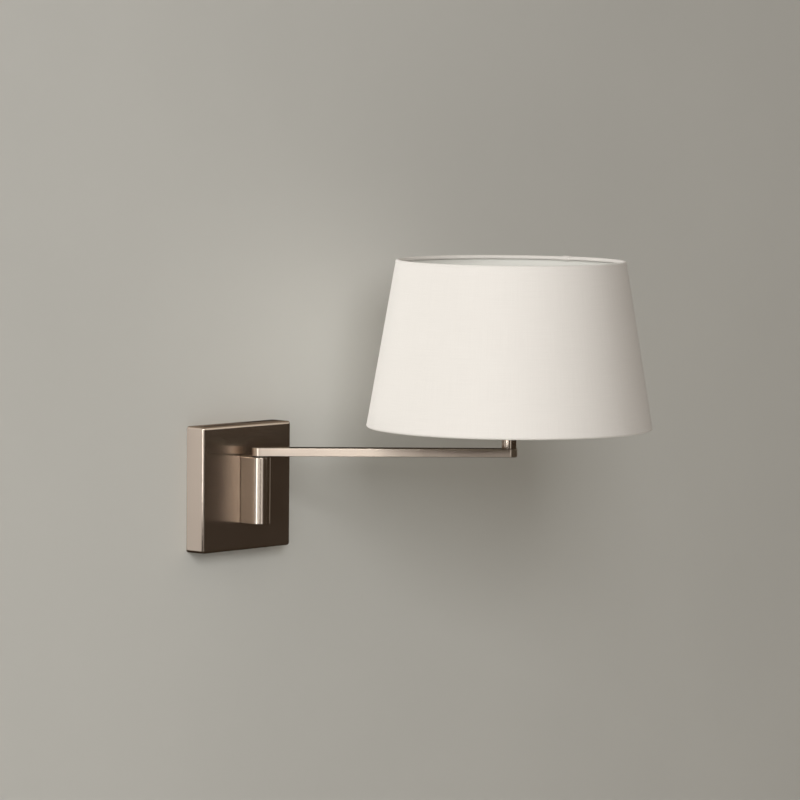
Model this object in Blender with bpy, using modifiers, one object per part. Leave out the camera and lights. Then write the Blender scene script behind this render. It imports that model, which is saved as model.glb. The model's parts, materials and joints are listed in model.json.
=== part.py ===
"""Swing arm wall sconce: a square wall box, a pivot block, one flat swinging arm and a tapered shade.

Metres, +Z up. The wall is the plane Y = 0 and the light stands out of it towards -Y. The origin is the
centre of the bracket's back face. Pieces that swing are children of the empty "arm_pivot", whose local +X
runs along the arm, and the pieces of the lamp head are children of the empty "lamp_axis" on the arm's end.
"""

import math

import bmesh
import bpy
from mathutils import Matrix, Vector

MM = 0.001
GAP = 0.3 * MM  # between pieces that touch

# Driving dimensions
BOX_SIDE = 112 * MM
BOX_DEPTH = 20.5 * MM
BOX_WALL = 1.8 * MM
BOX_EDGE = 1.6 * MM

BLOCK_RADIUS = 9.25 * MM  # of the nose, and half the block's width
BLOCK_REACH = 15.5 * MM  # box front to pivot axis
BLOCK_TOP = 27.75 * MM
BLOCK_BOTTOM = -31.5 * MM
BLOCK_EDGE = 0.45 * MM

ARM_ANGLE = math.radians(-45)  # of the arm's direction from +X, seen from above
ARM_LENGTH = 221 * MM  # pivot axis to lamp axis
ARM_WIDTH = 14.75 * MM
ARM_BOTTOM = 28.9 * MM
ARM_TOP = 36.2 * MM
ARM_EDGE = 0.4 * MM

SHADE_BOTTOM = 54.7 * MM
SHADE_TOP = 203.7 * MM
SHADE_BOTTOM_RADIUS = 127.2 * MM
SHADE_TOP_RADIUS = 102.1 * MM

# Pivot
PIVOT_Y = -(BOX_DEPTH + BLOCK_REACH)
BLOCK_SCREW_HEIGHTS = {"upper": 18 * MM, "lower": -5 * MM}
TUBE_RADIUS = 5.0 * MM
TUBE_BORE = 3.5 * MM
TUBE_FOOT = -10 * MM
BUSH_BORE = 6.5 * MM
CHAMBER_BORE = 7.25 * MM
CHAMBER_TOP = 4 * MM
SWING_MIN = -109  # degrees from rest, a little less than the room that the wall leaves the shade
SWING_MAX = 19
STOP_Z = -1.55 * MM  # height of the stop screw
STOP_TIP = 5.7 * MM  # from the pivot axis to the stop screw's tip

# Wiring
WIRE_RADIUS = 0.8 * MM
WIRE_PITCH = 1.95 * MM  # side by side
WIRE_SHIFT = 1.5 * MM  # off the axis of the tubes
WIRE_HOLE_Z = -18 * MM
WIRE_RUN_Z = -19 * MM
WIRE_SPLIT_Z = -6 * MM  # where the fixed wires meet the swinging ones, inside the pivot tube
WIRE_NAMES = ("neutral", "earth", "live")

# Bracket and terminal block
BRACKET_WIDTH = 80 * MM
BRACKET_HEIGHT = 106.8 * MM
BRACKET_LIP = 12 * MM
BRACKET_THICK = 1.6 * MM
FIXING_SPACING = 60 * MM
CABLE_HOLE_Z = 27 * MM
CABLE_HOLE_RADIUS = 11 * MM
TERMINAL_PITCH = 10 * MM
TERMINAL_Y = -8 * MM
TERMINAL_LOW = -4 * MM
TERMINAL_HIGH = 12 * MM
TERMINAL_GRIP_Z = 0.5 * MM  # where the terminals hold the wires
TERMINAL_SCREW_AT = (5 * MM, 4 * MM)
EARTH_SCREW_AT = (27 * MM, -24 * MM)
COVER_SCREW_X = 30 * MM
COVER_SCREW_Y = -6.5 * MM

# Inside the arm
CHANNEL_HALF = 3.3 * MM  # half the width of the wires' channel
CHANNEL_TOP = ARM_TOP - 1.5 * MM
SOLID_END = 12 * MM  # length of the solid end next to the pivot
STRIP_HALF = 4.4 * MM  # half the width of the cover strip
STRIP_START = 10.6 * MM
STRIP_SEAT = ARM_BOTTOM + 1.6 * MM
STRIP_SCREW_X = 9.4 * MM
NIPPLE_FOOT = ARM_BOTTOM + 4.0 * MM
NIPPLE_TOP = 55 * MM

# Lampholder and bulb
STEM_RADIUS = 6.6 * MM
STEM_TOP = 50 * MM
HOLDER_RADIUS = 19.8 * MM
HOLDER_SPLIT = 64 * MM
HOLDER_TOP = 100 * MM
CORE_FOOT = 61 * MM
CORE_TOP = 72 * MM
HOLDER_WIRE_Y = {"neutral": -9 * MM, "earth": 0, "live": 9 * MM}
CARRIER_Z = 82.3 * MM
THREAD_RADIUS = 13.0 * MM  # mean radius of the bulb's cap
THREAD_DEPTH = 0.35 * MM
THREAD_PITCH = 3.6 * MM
BULB_RADIUS = 30 * MM
BULB_CENTRE = 150 * MM

# Shade
COVER_THICK = 0.7 * MM
LINING_INSET = 1.0 * MM
LINING_THICK = 0.5 * MM
HEM_RADIUS = 2.0 * MM
HEM_THICK = 0.45 * MM
HEM_PROUD = 0.15 * MM  # how far a hem stands out from the cover
BOTTOM_RIM_Z = SHADE_BOTTOM + HEM_RADIUS - HEM_PROUD
TOP_RIM_Z = SHADE_TOP - HEM_RADIUS + HEM_PROUD
RIM_WIRE_RADIUS = 1.25 * MM
SPOKE_RADIUS = 1.25 * MM
SPOKE_ANGLES = (45, 165, 285)  # degrees from +X, seen from above
SEAM_ANGLE = 55.5  # degrees from the arm's direction
SEAM_WIDTH = 9 * MM

FINE = 48  # segments round the shade
MEDIUM = 18
THREADED = 14  # round the rolled threads
SMALL = 10

COLOURS = {  # name: colour, roughness, metallic
    "satin_nickel": ((0.42, 0.36, 0.31), 0.3, 1.0),
    "zinc_steel": ((0.55, 0.56, 0.57), 0.4, 1.0),
    "brass": ((0.72, 0.53, 0.26), 0.35, 1.0),
    "nickel_cap": ((0.6, 0.58, 0.55), 0.3, 1.0),
    "white_nylon": ((0.86, 0.85, 0.82), 0.5, 0.0),
    "black_plastic": ((0.03, 0.03, 0.03), 0.45, 0.0),
    "porcelain": ((0.9, 0.89, 0.86), 0.25, 0.0),
    "white_wire": ((0.85, 0.84, 0.81), 0.45, 0.0),
    "shade_fabric": ((0.86, 0.82, 0.76), 0.9, 0.0),
    "shade_lining": ((0.9, 0.89, 0.87), 0.6, 0.0),
    "opal_glass": ((0.93, 0.92, 0.9), 0.2, 0.0),
    "wire_live": ((0.25, 0.11, 0.05), 0.5, 0.0),
    "wire_neutral": ((0.05, 0.14, 0.5), 0.5, 0.0),
    "wire_earth": ((0.25, 0.5, 0.08), 0.5, 0.0),
}


# ---------------------------------------------------------------- scene and helpers


def clear_scene():
    for obj in list(bpy.data.objects):
        bpy.data.objects.remove(obj, do_unlink=True)


def new_collection(name, hidden=False):
    collection = bpy.data.collections.new(name)
    collection.hide_render = hidden
    bpy.context.scene.collection.children.link(collection)
    return collection


def make_materials():
    made = {}
    for name, (colour, roughness, metallic) in COLOURS.items():
        material = bpy.data.materials.new(name)
        material.use_nodes = True
        shader = material.node_tree.nodes["Principled BSDF"]
        shader.inputs["Base Color"].default_value = (*colour, 1)
        shader.inputs["Roughness"].default_value = roughness
        shader.inputs["Metallic"].default_value = metallic
        made[name] = material
    return made


def empty(name, location, turn, parent=None):
    obj = bpy.data.objects.new(name, None)
    obj.location = location
    obj.rotation_euler = (0, 0, turn)
    obj.parent = parent
    PARTS.objects.link(obj)
    return obj


def add(name, data, material, parent):
    """A new object in the model's collection, or a hidden cutter where material is None."""
    obj = bpy.data.objects.new(name, data)
    obj.parent = parent
    if material:
        PARTS.objects.link(obj)
        data.materials.append(MATERIALS[material])
    else:
        CUTTERS.objects.link(obj)
        obj.hide_render = True
        obj.display_type = "WIRE"
    return obj


def mesh_of(name, bm):
    mesh = bpy.data.meshes.new(name)
    bm.to_mesh(mesh)
    bm.free()
    return mesh


def box(name, low, high, material=None, parent=None):
    low = Vector(low)
    high = Vector(high)
    bm = bmesh.new()
    place = Matrix.Translation((low + high) / 2) @ Matrix.Diagonal((*(high - low), 1))
    bmesh.ops.create_cube(bm, size=1, matrix=place)
    return add(name, mesh_of(name, bm), material, parent)


def rod(name, radius, start, end, material=None, parent=None, segments=MEDIUM):
    """A cylinder from one point to another."""
    start = Vector(start)
    end = Vector(end)
    along = end - start
    bm = bmesh.new()
    turn = along.to_track_quat("Z", "Y").to_matrix().to_4x4()
    place = Matrix.Translation((start + end) / 2) @ turn
    bmesh.ops.create_cone(
        bm,
        cap_ends=True,
        segments=segments,
        radius1=radius,
        radius2=radius,
        depth=along.length,
        matrix=place,
    )
    return add(name, mesh_of(name, bm), material, parent)


def turned(name, profile, material, parent, steps=MEDIUM, ring=False):
    """A profile of (radius, height), top to bottom down its outer side, turned about Z."""
    bm = bmesh.new()
    points = [bm.verts.new((radius, 0, height)) for radius, height in profile]
    for first, second in zip(points, points[1:]):
        bm.edges.new((first, second))
    if ring:
        bm.edges.new((points[-1], points[0]))
    obj = add(name, mesh_of(name, bm), material, parent)
    screw = obj.modifiers.new("Turn", "SCREW")
    screw.steps = steps
    screw.render_steps = steps
    screw.use_merge_vertices = True
    screw.merge_threshold = 0.01 * MM
    return obj


def ring_of(name, inner, outer, low, high, material, parent, steps=MEDIUM):
    profile = [(outer, high), (outer, low), (inner, low), (inner, high)]
    return turned(name, profile, material, parent, steps, ring=True)


def arc(centre, radius, start, end, count):
    """Points on an arc from one angle in degrees to another."""
    points = []
    for i in range(count + 1):
        angle = math.radians(start + (end - start) * i / count)
        points.append((centre[0] + radius * math.cos(angle), centre[1] + radius * math.sin(angle)))
    return points


def stadium(start, end, radius, count=12):
    """The outline of a bar with round ends whose centre line runs along X."""
    return arc((end, 0), radius, -90, 90, count) + arc((start, 0), radius, 90, 270, count)


def extruded(name, outlines, low, high, material, parent):
    """A flat outline, with holes where outlines lie inside others, from height low to height high."""
    curve = bpy.data.curves.new(name, "CURVE")
    curve.dimensions = "2D"
    curve.fill_mode = "BOTH"
    curve.extrude = (high - low) / 2
    for outline in outlines:
        spline = curve.splines.new("POLY")
        spline.points.add(len(outline) - 1)
        for point, (x, y) in zip(spline.points, outline):
            point.co = (x, y, 0, 1)
        spline.use_cyclic_u = True
    guide = add(name + "_outline", curve, None, parent)
    guide.location = (0, 0, (low + high) / 2)
    return as_mesh(guide, name, material)


def as_mesh(guide, name, material):
    """A curve object made into a closed mesh object in the same place, and the curve removed."""
    bpy.context.view_layer.update()
    graph = bpy.context.evaluated_depsgraph_get()
    mesh = bpy.data.meshes.new_from_object(guide.evaluated_get(graph))
    bm = bmesh.new()
    bm.from_mesh(mesh)
    bmesh.ops.remove_doubles(bm, verts=bm.verts, dist=0.001 * MM)
    bm.to_mesh(mesh)
    bm.free()
    mesh.materials.clear()
    obj = add(name, mesh, material, guide.parent)
    obj.matrix_world = guide.matrix_world
    bpy.data.objects.remove(guide)
    return obj


def tube_along(name, points, radius, material, parent):
    """A round wire through the points, with closed ends."""
    curve = bpy.data.curves.new(name, "CURVE")
    curve.dimensions = "3D"
    curve.bevel_depth = radius
    curve.bevel_resolution = 2
    curve.use_fill_caps = True
    spline = curve.splines.new("POLY")
    spline.points.add(len(points) - 1)
    for point, place in zip(spline.points, points):
        point.co = (*place, 1)
    return add(name, curve, material, parent)


def change(obj, other, operation):
    modifier = obj.modifiers.new(operation.capitalize(), "BOOLEAN")
    modifier.operation = operation
    modifier.solver = "EXACT"
    modifier.object = other


def cut(obj, *cutters):
    for cutter in cutters:
        change(obj, cutter, "DIFFERENCE")


def join(obj, *others):
    for other in others:
        change(obj, other, "UNION")


def bevel(obj, width, segments=2, angle=40):
    modifier = obj.modifiers.new("Rounded edges", "BEVEL")
    modifier.width = width
    modifier.segments = segments
    modifier.limit_method = "ANGLE"
    modifier.angle_limit = math.radians(angle)


def screw(name, head, shank, place, direction, parent, material="zinc_steel"):
    """A slotted screw whose shank points in a direction. head and shank are (radius, length)."""
    head_radius, head_length = head
    shank_radius, shank_length = shank
    edge = 0.2 * head_length
    profile = [
        (0, head_length),
        (head_radius - edge, head_length),
        (head_radius, head_length - edge),
        (head_radius, 0),
        (shank_radius, 0),
        (shank_radius, -shank_length),
        (0, -shank_length),
    ]
    obj = turned(name, profile, material, parent, SMALL)
    slot_low = (-2 * head_radius, -0.2 * head_radius, 0.55 * head_length)
    slot_high = (2 * head_radius, 0.2 * head_radius, 2 * head_length)
    slot = box(name + "_slot", slot_low, slot_high, None, obj)
    obj.location = place
    obj.rotation_euler = (-Vector(direction)).to_track_quat("Z", "Y").to_euler()
    cut(obj, slot)
    return obj


def grub_screw(name, radius, start, end, parent):
    """A headless screw from its slotted end to its tip."""
    obj = rod(name, radius, start, end, "zinc_steel", parent, SMALL)
    inward = (Vector(end) - Vector(start)).normalized()
    across = inward.orthogonal().normalized()
    reach = Vector((2 * radius, 0.25 * radius, 0.8 * radius))
    slot = box(name + "_slot", -reach, reach, None, parent)
    slot.location = start
    slot.rotation_euler = Matrix((across, inward.cross(across), inward)).transposed().to_euler()
    cut(obj, slot)
    return obj


# ---------------------------------------------------------------- wall box


def wall_bracket():
    """A bent plate against the wall, with an upper and a lower lip that the cover goes over."""
    half_width = BRACKET_WIDTH / 2
    half_height = BRACKET_HEIGHT / 2
    inside = half_height - BRACKET_THICK
    plate = box(
        "wall_bracket",
        (-half_width, -BRACKET_LIP, -half_height),
        (half_width, 0, half_height),
        "zinc_steel",
    )
    hollow = box("bracket_hollow", (-BOX_SIDE, -BOX_SIDE, -inside), (BOX_SIDE, -BRACKET_THICK, inside))
    cable_hole = rod(
        "bracket_cable_hole",
        CABLE_HOLE_RADIUS,
        (0, -BRACKET_LIP / 2, CABLE_HOLE_Z),
        (0, BRACKET_LIP / 2, CABLE_HOLE_Z),
    )
    cut(plate, hollow, cable_hole)
    for side in (-1, 1):
        slot = extruded(
            f"bracket_slot_{side}",
            [stadium(-3 * MM, 3 * MM, 2.3 * MM)],
            -BRACKET_LIP / 2,
            BRACKET_LIP / 2,
            None,
            None,
        )
        slot.location = (side * FIXING_SPACING / 2, 0, 0)
        slot.rotation_euler = (math.radians(90), 0, 0)
        screw_hole = rod(
            f"bracket_lip_hole_{side}",
            1.65 * MM,
            (side * COVER_SCREW_X, COVER_SCREW_Y, -half_height - MM),
            (side * COVER_SCREW_X, COVER_SCREW_Y, -inside + MM),
            segments=SMALL,
        )
        cut(plate, slot, screw_hole)
    for x, z in (TERMINAL_SCREW_AT, EARTH_SCREW_AT):
        start = (x, -BRACKET_LIP / 2, z)
        hole = rod(f"bracket_hole_{x:.3f}", 1.4 * MM, start, (x, BRACKET_LIP, z), segments=SMALL)
        cut(plate, hole)
    return plate


def backplate_cover():
    """The square box: rounded outside, open at the back, with its holes hidden by the block."""
    half = BOX_SIDE / 2
    cover = box("backplate_cover", (-half, -BOX_DEPTH, -half), (half, 0, half), "satin_nickel")
    bm = bmesh.new()
    bm.from_mesh(cover.data)
    weight = bm.edges.layers.float.new("bevel_weight_edge")
    for edge in bm.edges:
        at_back = all(vertex.co.y > -MM for vertex in edge.verts)
        edge[weight] = 0.0 if at_back else 1.0
    bm.to_mesh(cover.data)
    bm.free()
    bevel(cover, BOX_EDGE, 3)
    cover.modifiers["Rounded edges"].limit_method = "WEIGHT"
    inner = half - BOX_WALL
    front = -BOX_DEPTH - MM
    back = -BOX_DEPTH + BOX_WALL
    hollow = box("cover_hollow", (-inner, back, -inner), (inner, MM, inner))
    wires = rod("cover_wire_hole", 4.6 * MM, (0, front, WIRE_HOLE_Z), (0, back + MM, WIRE_HOLE_Z))
    cut(cover, hollow, wires)
    for name, height in BLOCK_SCREW_HEIGHTS.items():
        start = (0, front, height)
        hole = rod(f"cover_{name}_hole", 2.2 * MM, start, (0, back + MM, height), segments=SMALL)
        cut(cover, hole)
    for side in (-1, 1):
        x = side * COVER_SCREW_X
        hole = rod(
            f"cover_side_hole_{side}",
            1.65 * MM,
            (x, COVER_SCREW_Y, -half - MM),
            (x, COVER_SCREW_Y, -inner + MM),
            segments=SMALL,
        )
        cut(cover, hole)
    return cover


def cover_screws():
    for name, side in (("left", -1), ("right", 1)):
        x = side * COVER_SCREW_X
        start = (x, COVER_SCREW_Y, -BOX_SIDE / 2 + GAP)
        end = (x, COVER_SCREW_Y, -BRACKET_HEIGHT / 2 + BRACKET_THICK + 1.5 * MM)
        grub_screw(f"cover_screw_{name}", 1.5 * MM, start, end, None)


def terminal_block():
    """Three ways side by side, each a brass insert along Z with a clamping screw from the front."""
    width = 1.5 * TERMINAL_PITCH
    low = (-width, TERMINAL_Y - 5.2 * MM, TERMINAL_LOW)
    high = (width, TERMINAL_Y + 5.8 * MM, TERMINAL_HIGH)
    block = box("terminal_block", low, high, "white_nylon")
    bevel(block, 0.5 * MM, 1)
    x, z = TERMINAL_SCREW_AT
    cut(block, rod("block_screw_hole", 1.7 * MM, (x, low[1] - MM, z), (x, high[1] + MM, z), segments=SMALL))
    for i, name in enumerate(WIRE_NAMES):
        x = (i - 1) * TERMINAL_PITCH
        way = rod(
            f"block_way_{name}",
            2.5 * MM,
            (x, TERMINAL_Y, TERMINAL_LOW - MM),
            (x, TERMINAL_Y, TERMINAL_HIGH + MM),
            segments=SMALL,
        )
        access = rod(
            f"block_access_{name}",
            1.9 * MM,
            (x, low[1] - MM, TERMINAL_GRIP_Z),
            (x, TERMINAL_Y, TERMINAL_GRIP_Z),
            segments=SMALL,
        )
        cut(block, way, access)
        insert = ring_of(
            f"terminal_insert_{name}",
            1.6 * MM,
            2.2 * MM,
            TERMINAL_LOW + 0.5 * MM,
            TERMINAL_HIGH - 0.5 * MM,
            "brass",
            None,
            SMALL,
        )
        insert.location = (x, TERMINAL_Y, 0)
        opening = rod(
            f"insert_opening_{name}",
            1.6 * MM,
            (x, TERMINAL_Y - 5 * MM, TERMINAL_GRIP_Z),
            (x, TERMINAL_Y, TERMINAL_GRIP_Z),
            segments=SMALL,
        )
        cut(insert, opening)
        start = (x, TERMINAL_Y - 4.8 * MM, TERMINAL_GRIP_Z)
        end = (x, TERMINAL_Y - 0.8 * MM, TERMINAL_GRIP_Z)
        grub_screw(f"terminal_screw_{name}", 1.4 * MM, start, end, None)


def terminal_block_screw():
    x, z = TERMINAL_SCREW_AT
    place = (x, TERMINAL_Y - 5.5 * MM, z)
    screw("terminal_block_screw", (2.6 * MM, 1.6 * MM), (1.2 * MM, 13 * MM), place, (0, 1, 0), None)


def earth_point():
    """A screw in the bracket, with the ring tag of the earth wire under its head."""
    x, z = EARTH_SCREW_AT
    tag_front = -BRACKET_THICK - GAP - 0.8 * MM
    place = (x, tag_front - GAP, z)
    screw("earth_screw", (3 * MM, 2 * MM), (1.2 * MM, 3 * MM), place, (0, 1, 0), None, "brass")
    tag = extruded(
        "earth_ring_tag",
        [arc((0, 0), 3.4 * MM, 0, 345, 23), arc((0, 0), 1.5 * MM, 0, 330, 11)],
        tag_front,
        tag_front + 0.8 * MM,
        "brass",
        None,
    )
    tag.location = (x, tag_front + 0.4 * MM, z)
    tag.rotation_euler = (math.radians(90), 0, 0)
    tail = box(
        "tag_tail",
        (x - 1.2 * MM, tag_front, z + 3 * MM),
        (x + 1.2 * MM, tag_front + 0.8 * MM, z + 7 * MM),
    )
    join(tag, tail)


def cable_grommet():
    """A plastic ring through the box's front, which keeps the wires off the metal edge."""
    y = -BOX_DEPTH + BOX_WALL + GAP
    profile = [
        (5.9 * MM, 1.2 * MM),
        (5.9 * MM, 0),
        (4.3 * MM, 0),
        (4.3 * MM, -1.9 * MM),
        (3.6 * MM, -1.9 * MM),
        (3.6 * MM, 1.2 * MM),
    ]
    grommet = turned("cable_grommet", profile, "white_nylon", None, MEDIUM, ring=True)
    grommet.location = (0, y, WIRE_HOLE_Z)
    grommet.rotation_euler = (math.radians(-90), 0, 0)


# ---------------------------------------------------------------- pivot


def block_outline(back):
    """Seen from above: straight sides and a half-round nose round the pivot axis."""
    nose = arc((0, PIVOT_Y), BLOCK_RADIUS, 180, 360, 24)
    return [(-BLOCK_RADIUS, back)] + nose + [(BLOCK_RADIUS, back)]


def pivot_housing():
    back = -BOX_DEPTH - GAP
    block = extruded("pivot_housing", [block_outline(back)], BLOCK_BOTTOM, BLOCK_TOP, "satin_nickel", None)
    bevel(block, BLOCK_EDGE, 2, 60)
    axis = (0, PIVOT_Y)
    chamber = rod("housing_chamber", CHAMBER_BORE, (*axis, BLOCK_BOTTOM - MM), (*axis, CHAMBER_TOP))
    bore = rod("housing_bore", BUSH_BORE, (*axis, CHAMBER_TOP - MM), (*axis, BLOCK_TOP + MM))
    wires = rod("housing_wire_hole", 4.5 * MM, (0, back + MM, WIRE_HOLE_Z), (0, PIVOT_Y, WIRE_HOLE_Z))
    stop = rod("housing_stop_hole", 1.5 * MM, (0, back + MM, STOP_Z), (0, PIVOT_Y, STOP_Z), segments=SMALL)
    cut(block, chamber, bore, wires, stop)
    for name, height in BLOCK_SCREW_HEIGHTS.items():
        hole = rod(
            f"housing_{name}_hole",
            1.9 * MM,
            (0, back + MM, height),
            (0, back - 6.6 * MM, height),
            segments=SMALL,
        )
        cut(block, hole)


def housing_screws():
    head_seat = -BOX_DEPTH + BOX_WALL + GAP
    for name, height in BLOCK_SCREW_HEIGHTS.items():
        screw(
            f"housing_screw_{name}",
            (3.8 * MM, 2.4 * MM),
            (1.7 * MM, 8.2 * MM),
            (0, head_seat, height),
            (0, -1, 0),
            None,
        )


def housing_bottom_cap():
    profile = [
        (0, BLOCK_BOTTOM + 2.6 * MM),
        (7.1 * MM, BLOCK_BOTTOM + 2.6 * MM),
        (7.1 * MM, BLOCK_BOTTOM + 0.5 * MM),
        (6.8 * MM, BLOCK_BOTTOM + 0.2 * MM),
        (0, BLOCK_BOTTOM + 0.2 * MM),
    ]
    cap = turned("housing_bottom_cap", profile, "satin_nickel", None)
    cap.location = (0, PIVOT_Y, 0)


def bushes():
    """Two flanged plastic bushes, pressed into the bore from above and from below."""
    inner = TUBE_RADIUS + 0.15 * MM
    outer = BUSH_BORE - 0.15 * MM
    flange = 7 * MM
    top = BLOCK_TOP + 1.0 * MM
    upper = [
        (flange, top),
        (flange, BLOCK_TOP + 0.2 * MM),
        (outer, BLOCK_TOP + 0.2 * MM),
        (outer, 18 * MM),
        (inner, 18 * MM),
        (inner, top),
    ]
    lower = [
        (outer, 14 * MM),
        (outer, CHAMBER_TOP - 0.2 * MM),
        (flange, CHAMBER_TOP - 0.2 * MM),
        (flange, CHAMBER_TOP - 1.1 * MM),
        (inner, CHAMBER_TOP - 1.1 * MM),
        (inner, 14 * MM),
    ]
    for name, profile in (("upper_bush", upper), ("lower_bush", lower)):
        bush = turned(name, profile, "black_plastic", None, MEDIUM, ring=True)
        bush.location = (0, PIVOT_Y, 0)


def stop_screw():
    """A grub screw through the block's back whose tip stands in the stop collar's notch."""
    start = (0, -BOX_DEPTH - 1.5 * MM, STOP_Z)
    grub_screw("stop_screw", 1.3 * MM, start, (0, PIVOT_Y + STOP_TIP, STOP_Z), None)


def pivot_tube(pivot):
    ring_of("pivot_tube", TUBE_BORE, TUBE_RADIUS, TUBE_FOOT, ARM_BOTTOM + 3.3 * MM, "zinc_steel", pivot)


def pivot_washers(pivot):
    ring_of("friction_washer", 5.3 * MM, 6.9 * MM, 1.9 * MM, 2.6 * MM, "zinc_steel", pivot)
    wave = []
    for i in range(MEDIUM):
        turn = 2 * math.pi * i / MEDIUM
        wave.append((turn, 1.15 * MM + 0.2 * MM * math.sin(3 * turn)))
    bm = bmesh.new()
    rows = []
    for turn, height in wave:
        row = []
        for radius in (5.4 * MM, 6.8 * MM):
            row.append(bm.verts.new((radius * math.cos(turn), radius * math.sin(turn), height)))
        rows.append(row)
    for first, second in zip(rows, rows[1:] + rows[:1]):
        bm.faces.new((first[0], first[1], second[1], second[0]))
    washer = add("wave_washer", mesh_of("wave_washer", bm), "zinc_steel", pivot)
    solid = washer.modifiers.new("Thickness", "SOLIDIFY")
    solid.thickness = 0.35 * MM
    solid.offset = 0


def stop_collar(pivot):
    """A collar with an open arc, whose two ends meet the stop screw at the ends of the swing."""
    screw_turn = 90 - math.degrees(ARM_ANGLE)  # the screw stands towards the wall
    margin = math.degrees(1.3 * MM / STOP_TIP) + 1.5
    notch_start = screw_turn - SWING_MAX - margin
    notch_end = screw_turn - SWING_MIN + margin
    outline = arc((0, 0), 6.9 * MM, notch_end, notch_start + 360, 20)
    outline += arc((0, 0), 5.45 * MM, notch_start + 360, notch_end + 360, 16)
    hole = arc((0, 0), 5.15 * MM, 0, 345, 23)
    extruded("stop_collar", [outline, hole], STOP_Z - 1.85 * MM, STOP_Z + 1.85 * MM, "zinc_steel", pivot)


def pivot_nuts(pivot):
    top = STOP_Z - 1.85 * MM - GAP
    for name in ("pivot_nut", "pivot_lock_nut"):
        flats = arc((0, 0), 6.9 * MM, 0, 300, 5)
        hole = arc((0, 0), 5.2 * MM, 0, 345, 23)
        extruded(name, [flats, hole], top - 2.5 * MM, top, "brass", pivot)
        top -= 2.5 * MM + GAP


# ---------------------------------------------------------------- arm


def arm_beam(pivot):
    """A flat bar with round ends, milled out from below for the wires."""
    outline = stadium(0, ARM_LENGTH, ARM_WIDTH / 2, 16)
    beam = extruded("arm_beam", [outline], ARM_BOTTOM, ARM_TOP, "satin_nickel", pivot)
    bevel(beam, ARM_EDGE, 2, 60)
    rebate = extruded(
        "arm_rebate",
        [stadium(STRIP_START, ARM_LENGTH, STRIP_HALF + GAP)],
        ARM_BOTTOM - MM,
        STRIP_SEAT,
        None,
        pivot,
    )
    channel = box(
        "arm_channel",
        (SOLID_END, -CHANNEL_HALF, ARM_BOTTOM),
        (ARM_LENGTH - SOLID_END, CHANNEL_HALF, CHANNEL_TOP),
        None,
        pivot,
    )
    inner_way = box(
        "arm_inner_way",
        (-CHANNEL_HALF, -CHANNEL_HALF, ARM_BOTTOM + 3.2 * MM),
        (SOLID_END + MM, CHANNEL_HALF, CHANNEL_TOP),
        None,
        pivot,
    )
    outer_way = box(
        "arm_outer_way",
        (ARM_LENGTH - SOLID_END - MM, -CHANNEL_HALF, ARM_BOTTOM),
        (ARM_LENGTH + CHANNEL_HALF + 0.3 * MM, CHANNEL_HALF, NIPPLE_FOOT - 0.2 * MM),
        None,
        pivot,
    )
    hole_radius = TUBE_RADIUS + 0.1 * MM
    tube_hole = rod(
        "arm_tube_hole",
        hole_radius,
        (0, 0, ARM_BOTTOM - MM),
        (0, 0, ARM_BOTTOM + 3.4 * MM),
        None,
        pivot,
    )
    nipple_hole = rod(
        "arm_nipple_hole",
        hole_radius,
        (ARM_LENGTH, 0, NIPPLE_FOOT - 0.3 * MM),
        (ARM_LENGTH, 0, ARM_TOP + MM),
        None,
        pivot,
    )
    screw_hole = rod(
        "arm_strip_hole",
        0.95 * MM,
        (STRIP_SCREW_X, 0, ARM_BOTTOM),
        (STRIP_SCREW_X, 0, ARM_BOTTOM + 3.25 * MM),
        None,
        pivot,
        SMALL,
    )
    cut(beam, rebate, channel, inner_way, outer_way, tube_hole, nipple_hole, screw_hole)


def arm_cover_strip(pivot):
    """The strip that closes the arm from below, let in flush."""
    outline = stadium(STRIP_START, ARM_LENGTH, STRIP_HALF, 8)
    hole = arc((STRIP_SCREW_X, 0), 1.0 * MM, 0, 330, 11)
    strip_top = STRIP_SEAT - GAP
    strip = extruded("arm_cover_strip", [outline, hole], ARM_BOTTOM, strip_top, "satin_nickel", pivot)
    sink = rod(
        "strip_sink",
        2.0 * MM,
        (STRIP_SCREW_X, 0, ARM_BOTTOM - MM),
        (STRIP_SCREW_X, 0, ARM_BOTTOM + 0.8 * MM),
        None,
        pivot,
        SMALL,
    )
    cut(strip, sink)
    screw(
        "strip_screw",
        (1.8 * MM, 0.6 * MM),
        (0.8 * MM, 2.2 * MM),
        (STRIP_SCREW_X, 0, ARM_BOTTOM + 0.65 * MM),
        (0, 0, 1),
        pivot,
    )


# ---------------------------------------------------------------- wires


def blend(first, second, share):
    """From first to second, starting and ending level."""
    smooth = share * share * (3 - 2 * share)
    return first + (second - first) * smooth


def bezier(start, start_pull, end_pull, end, count):
    points = []
    for i in range(count + 1):
        t = i / count
        u = 1 - t
        point = u**3 * Vector(start) + 3 * u * u * t * Vector(start_pull)
        point += 3 * u * t * t * Vector(end_pull) + t**3 * Vector(end)
        points.append(point)
    return points


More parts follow.
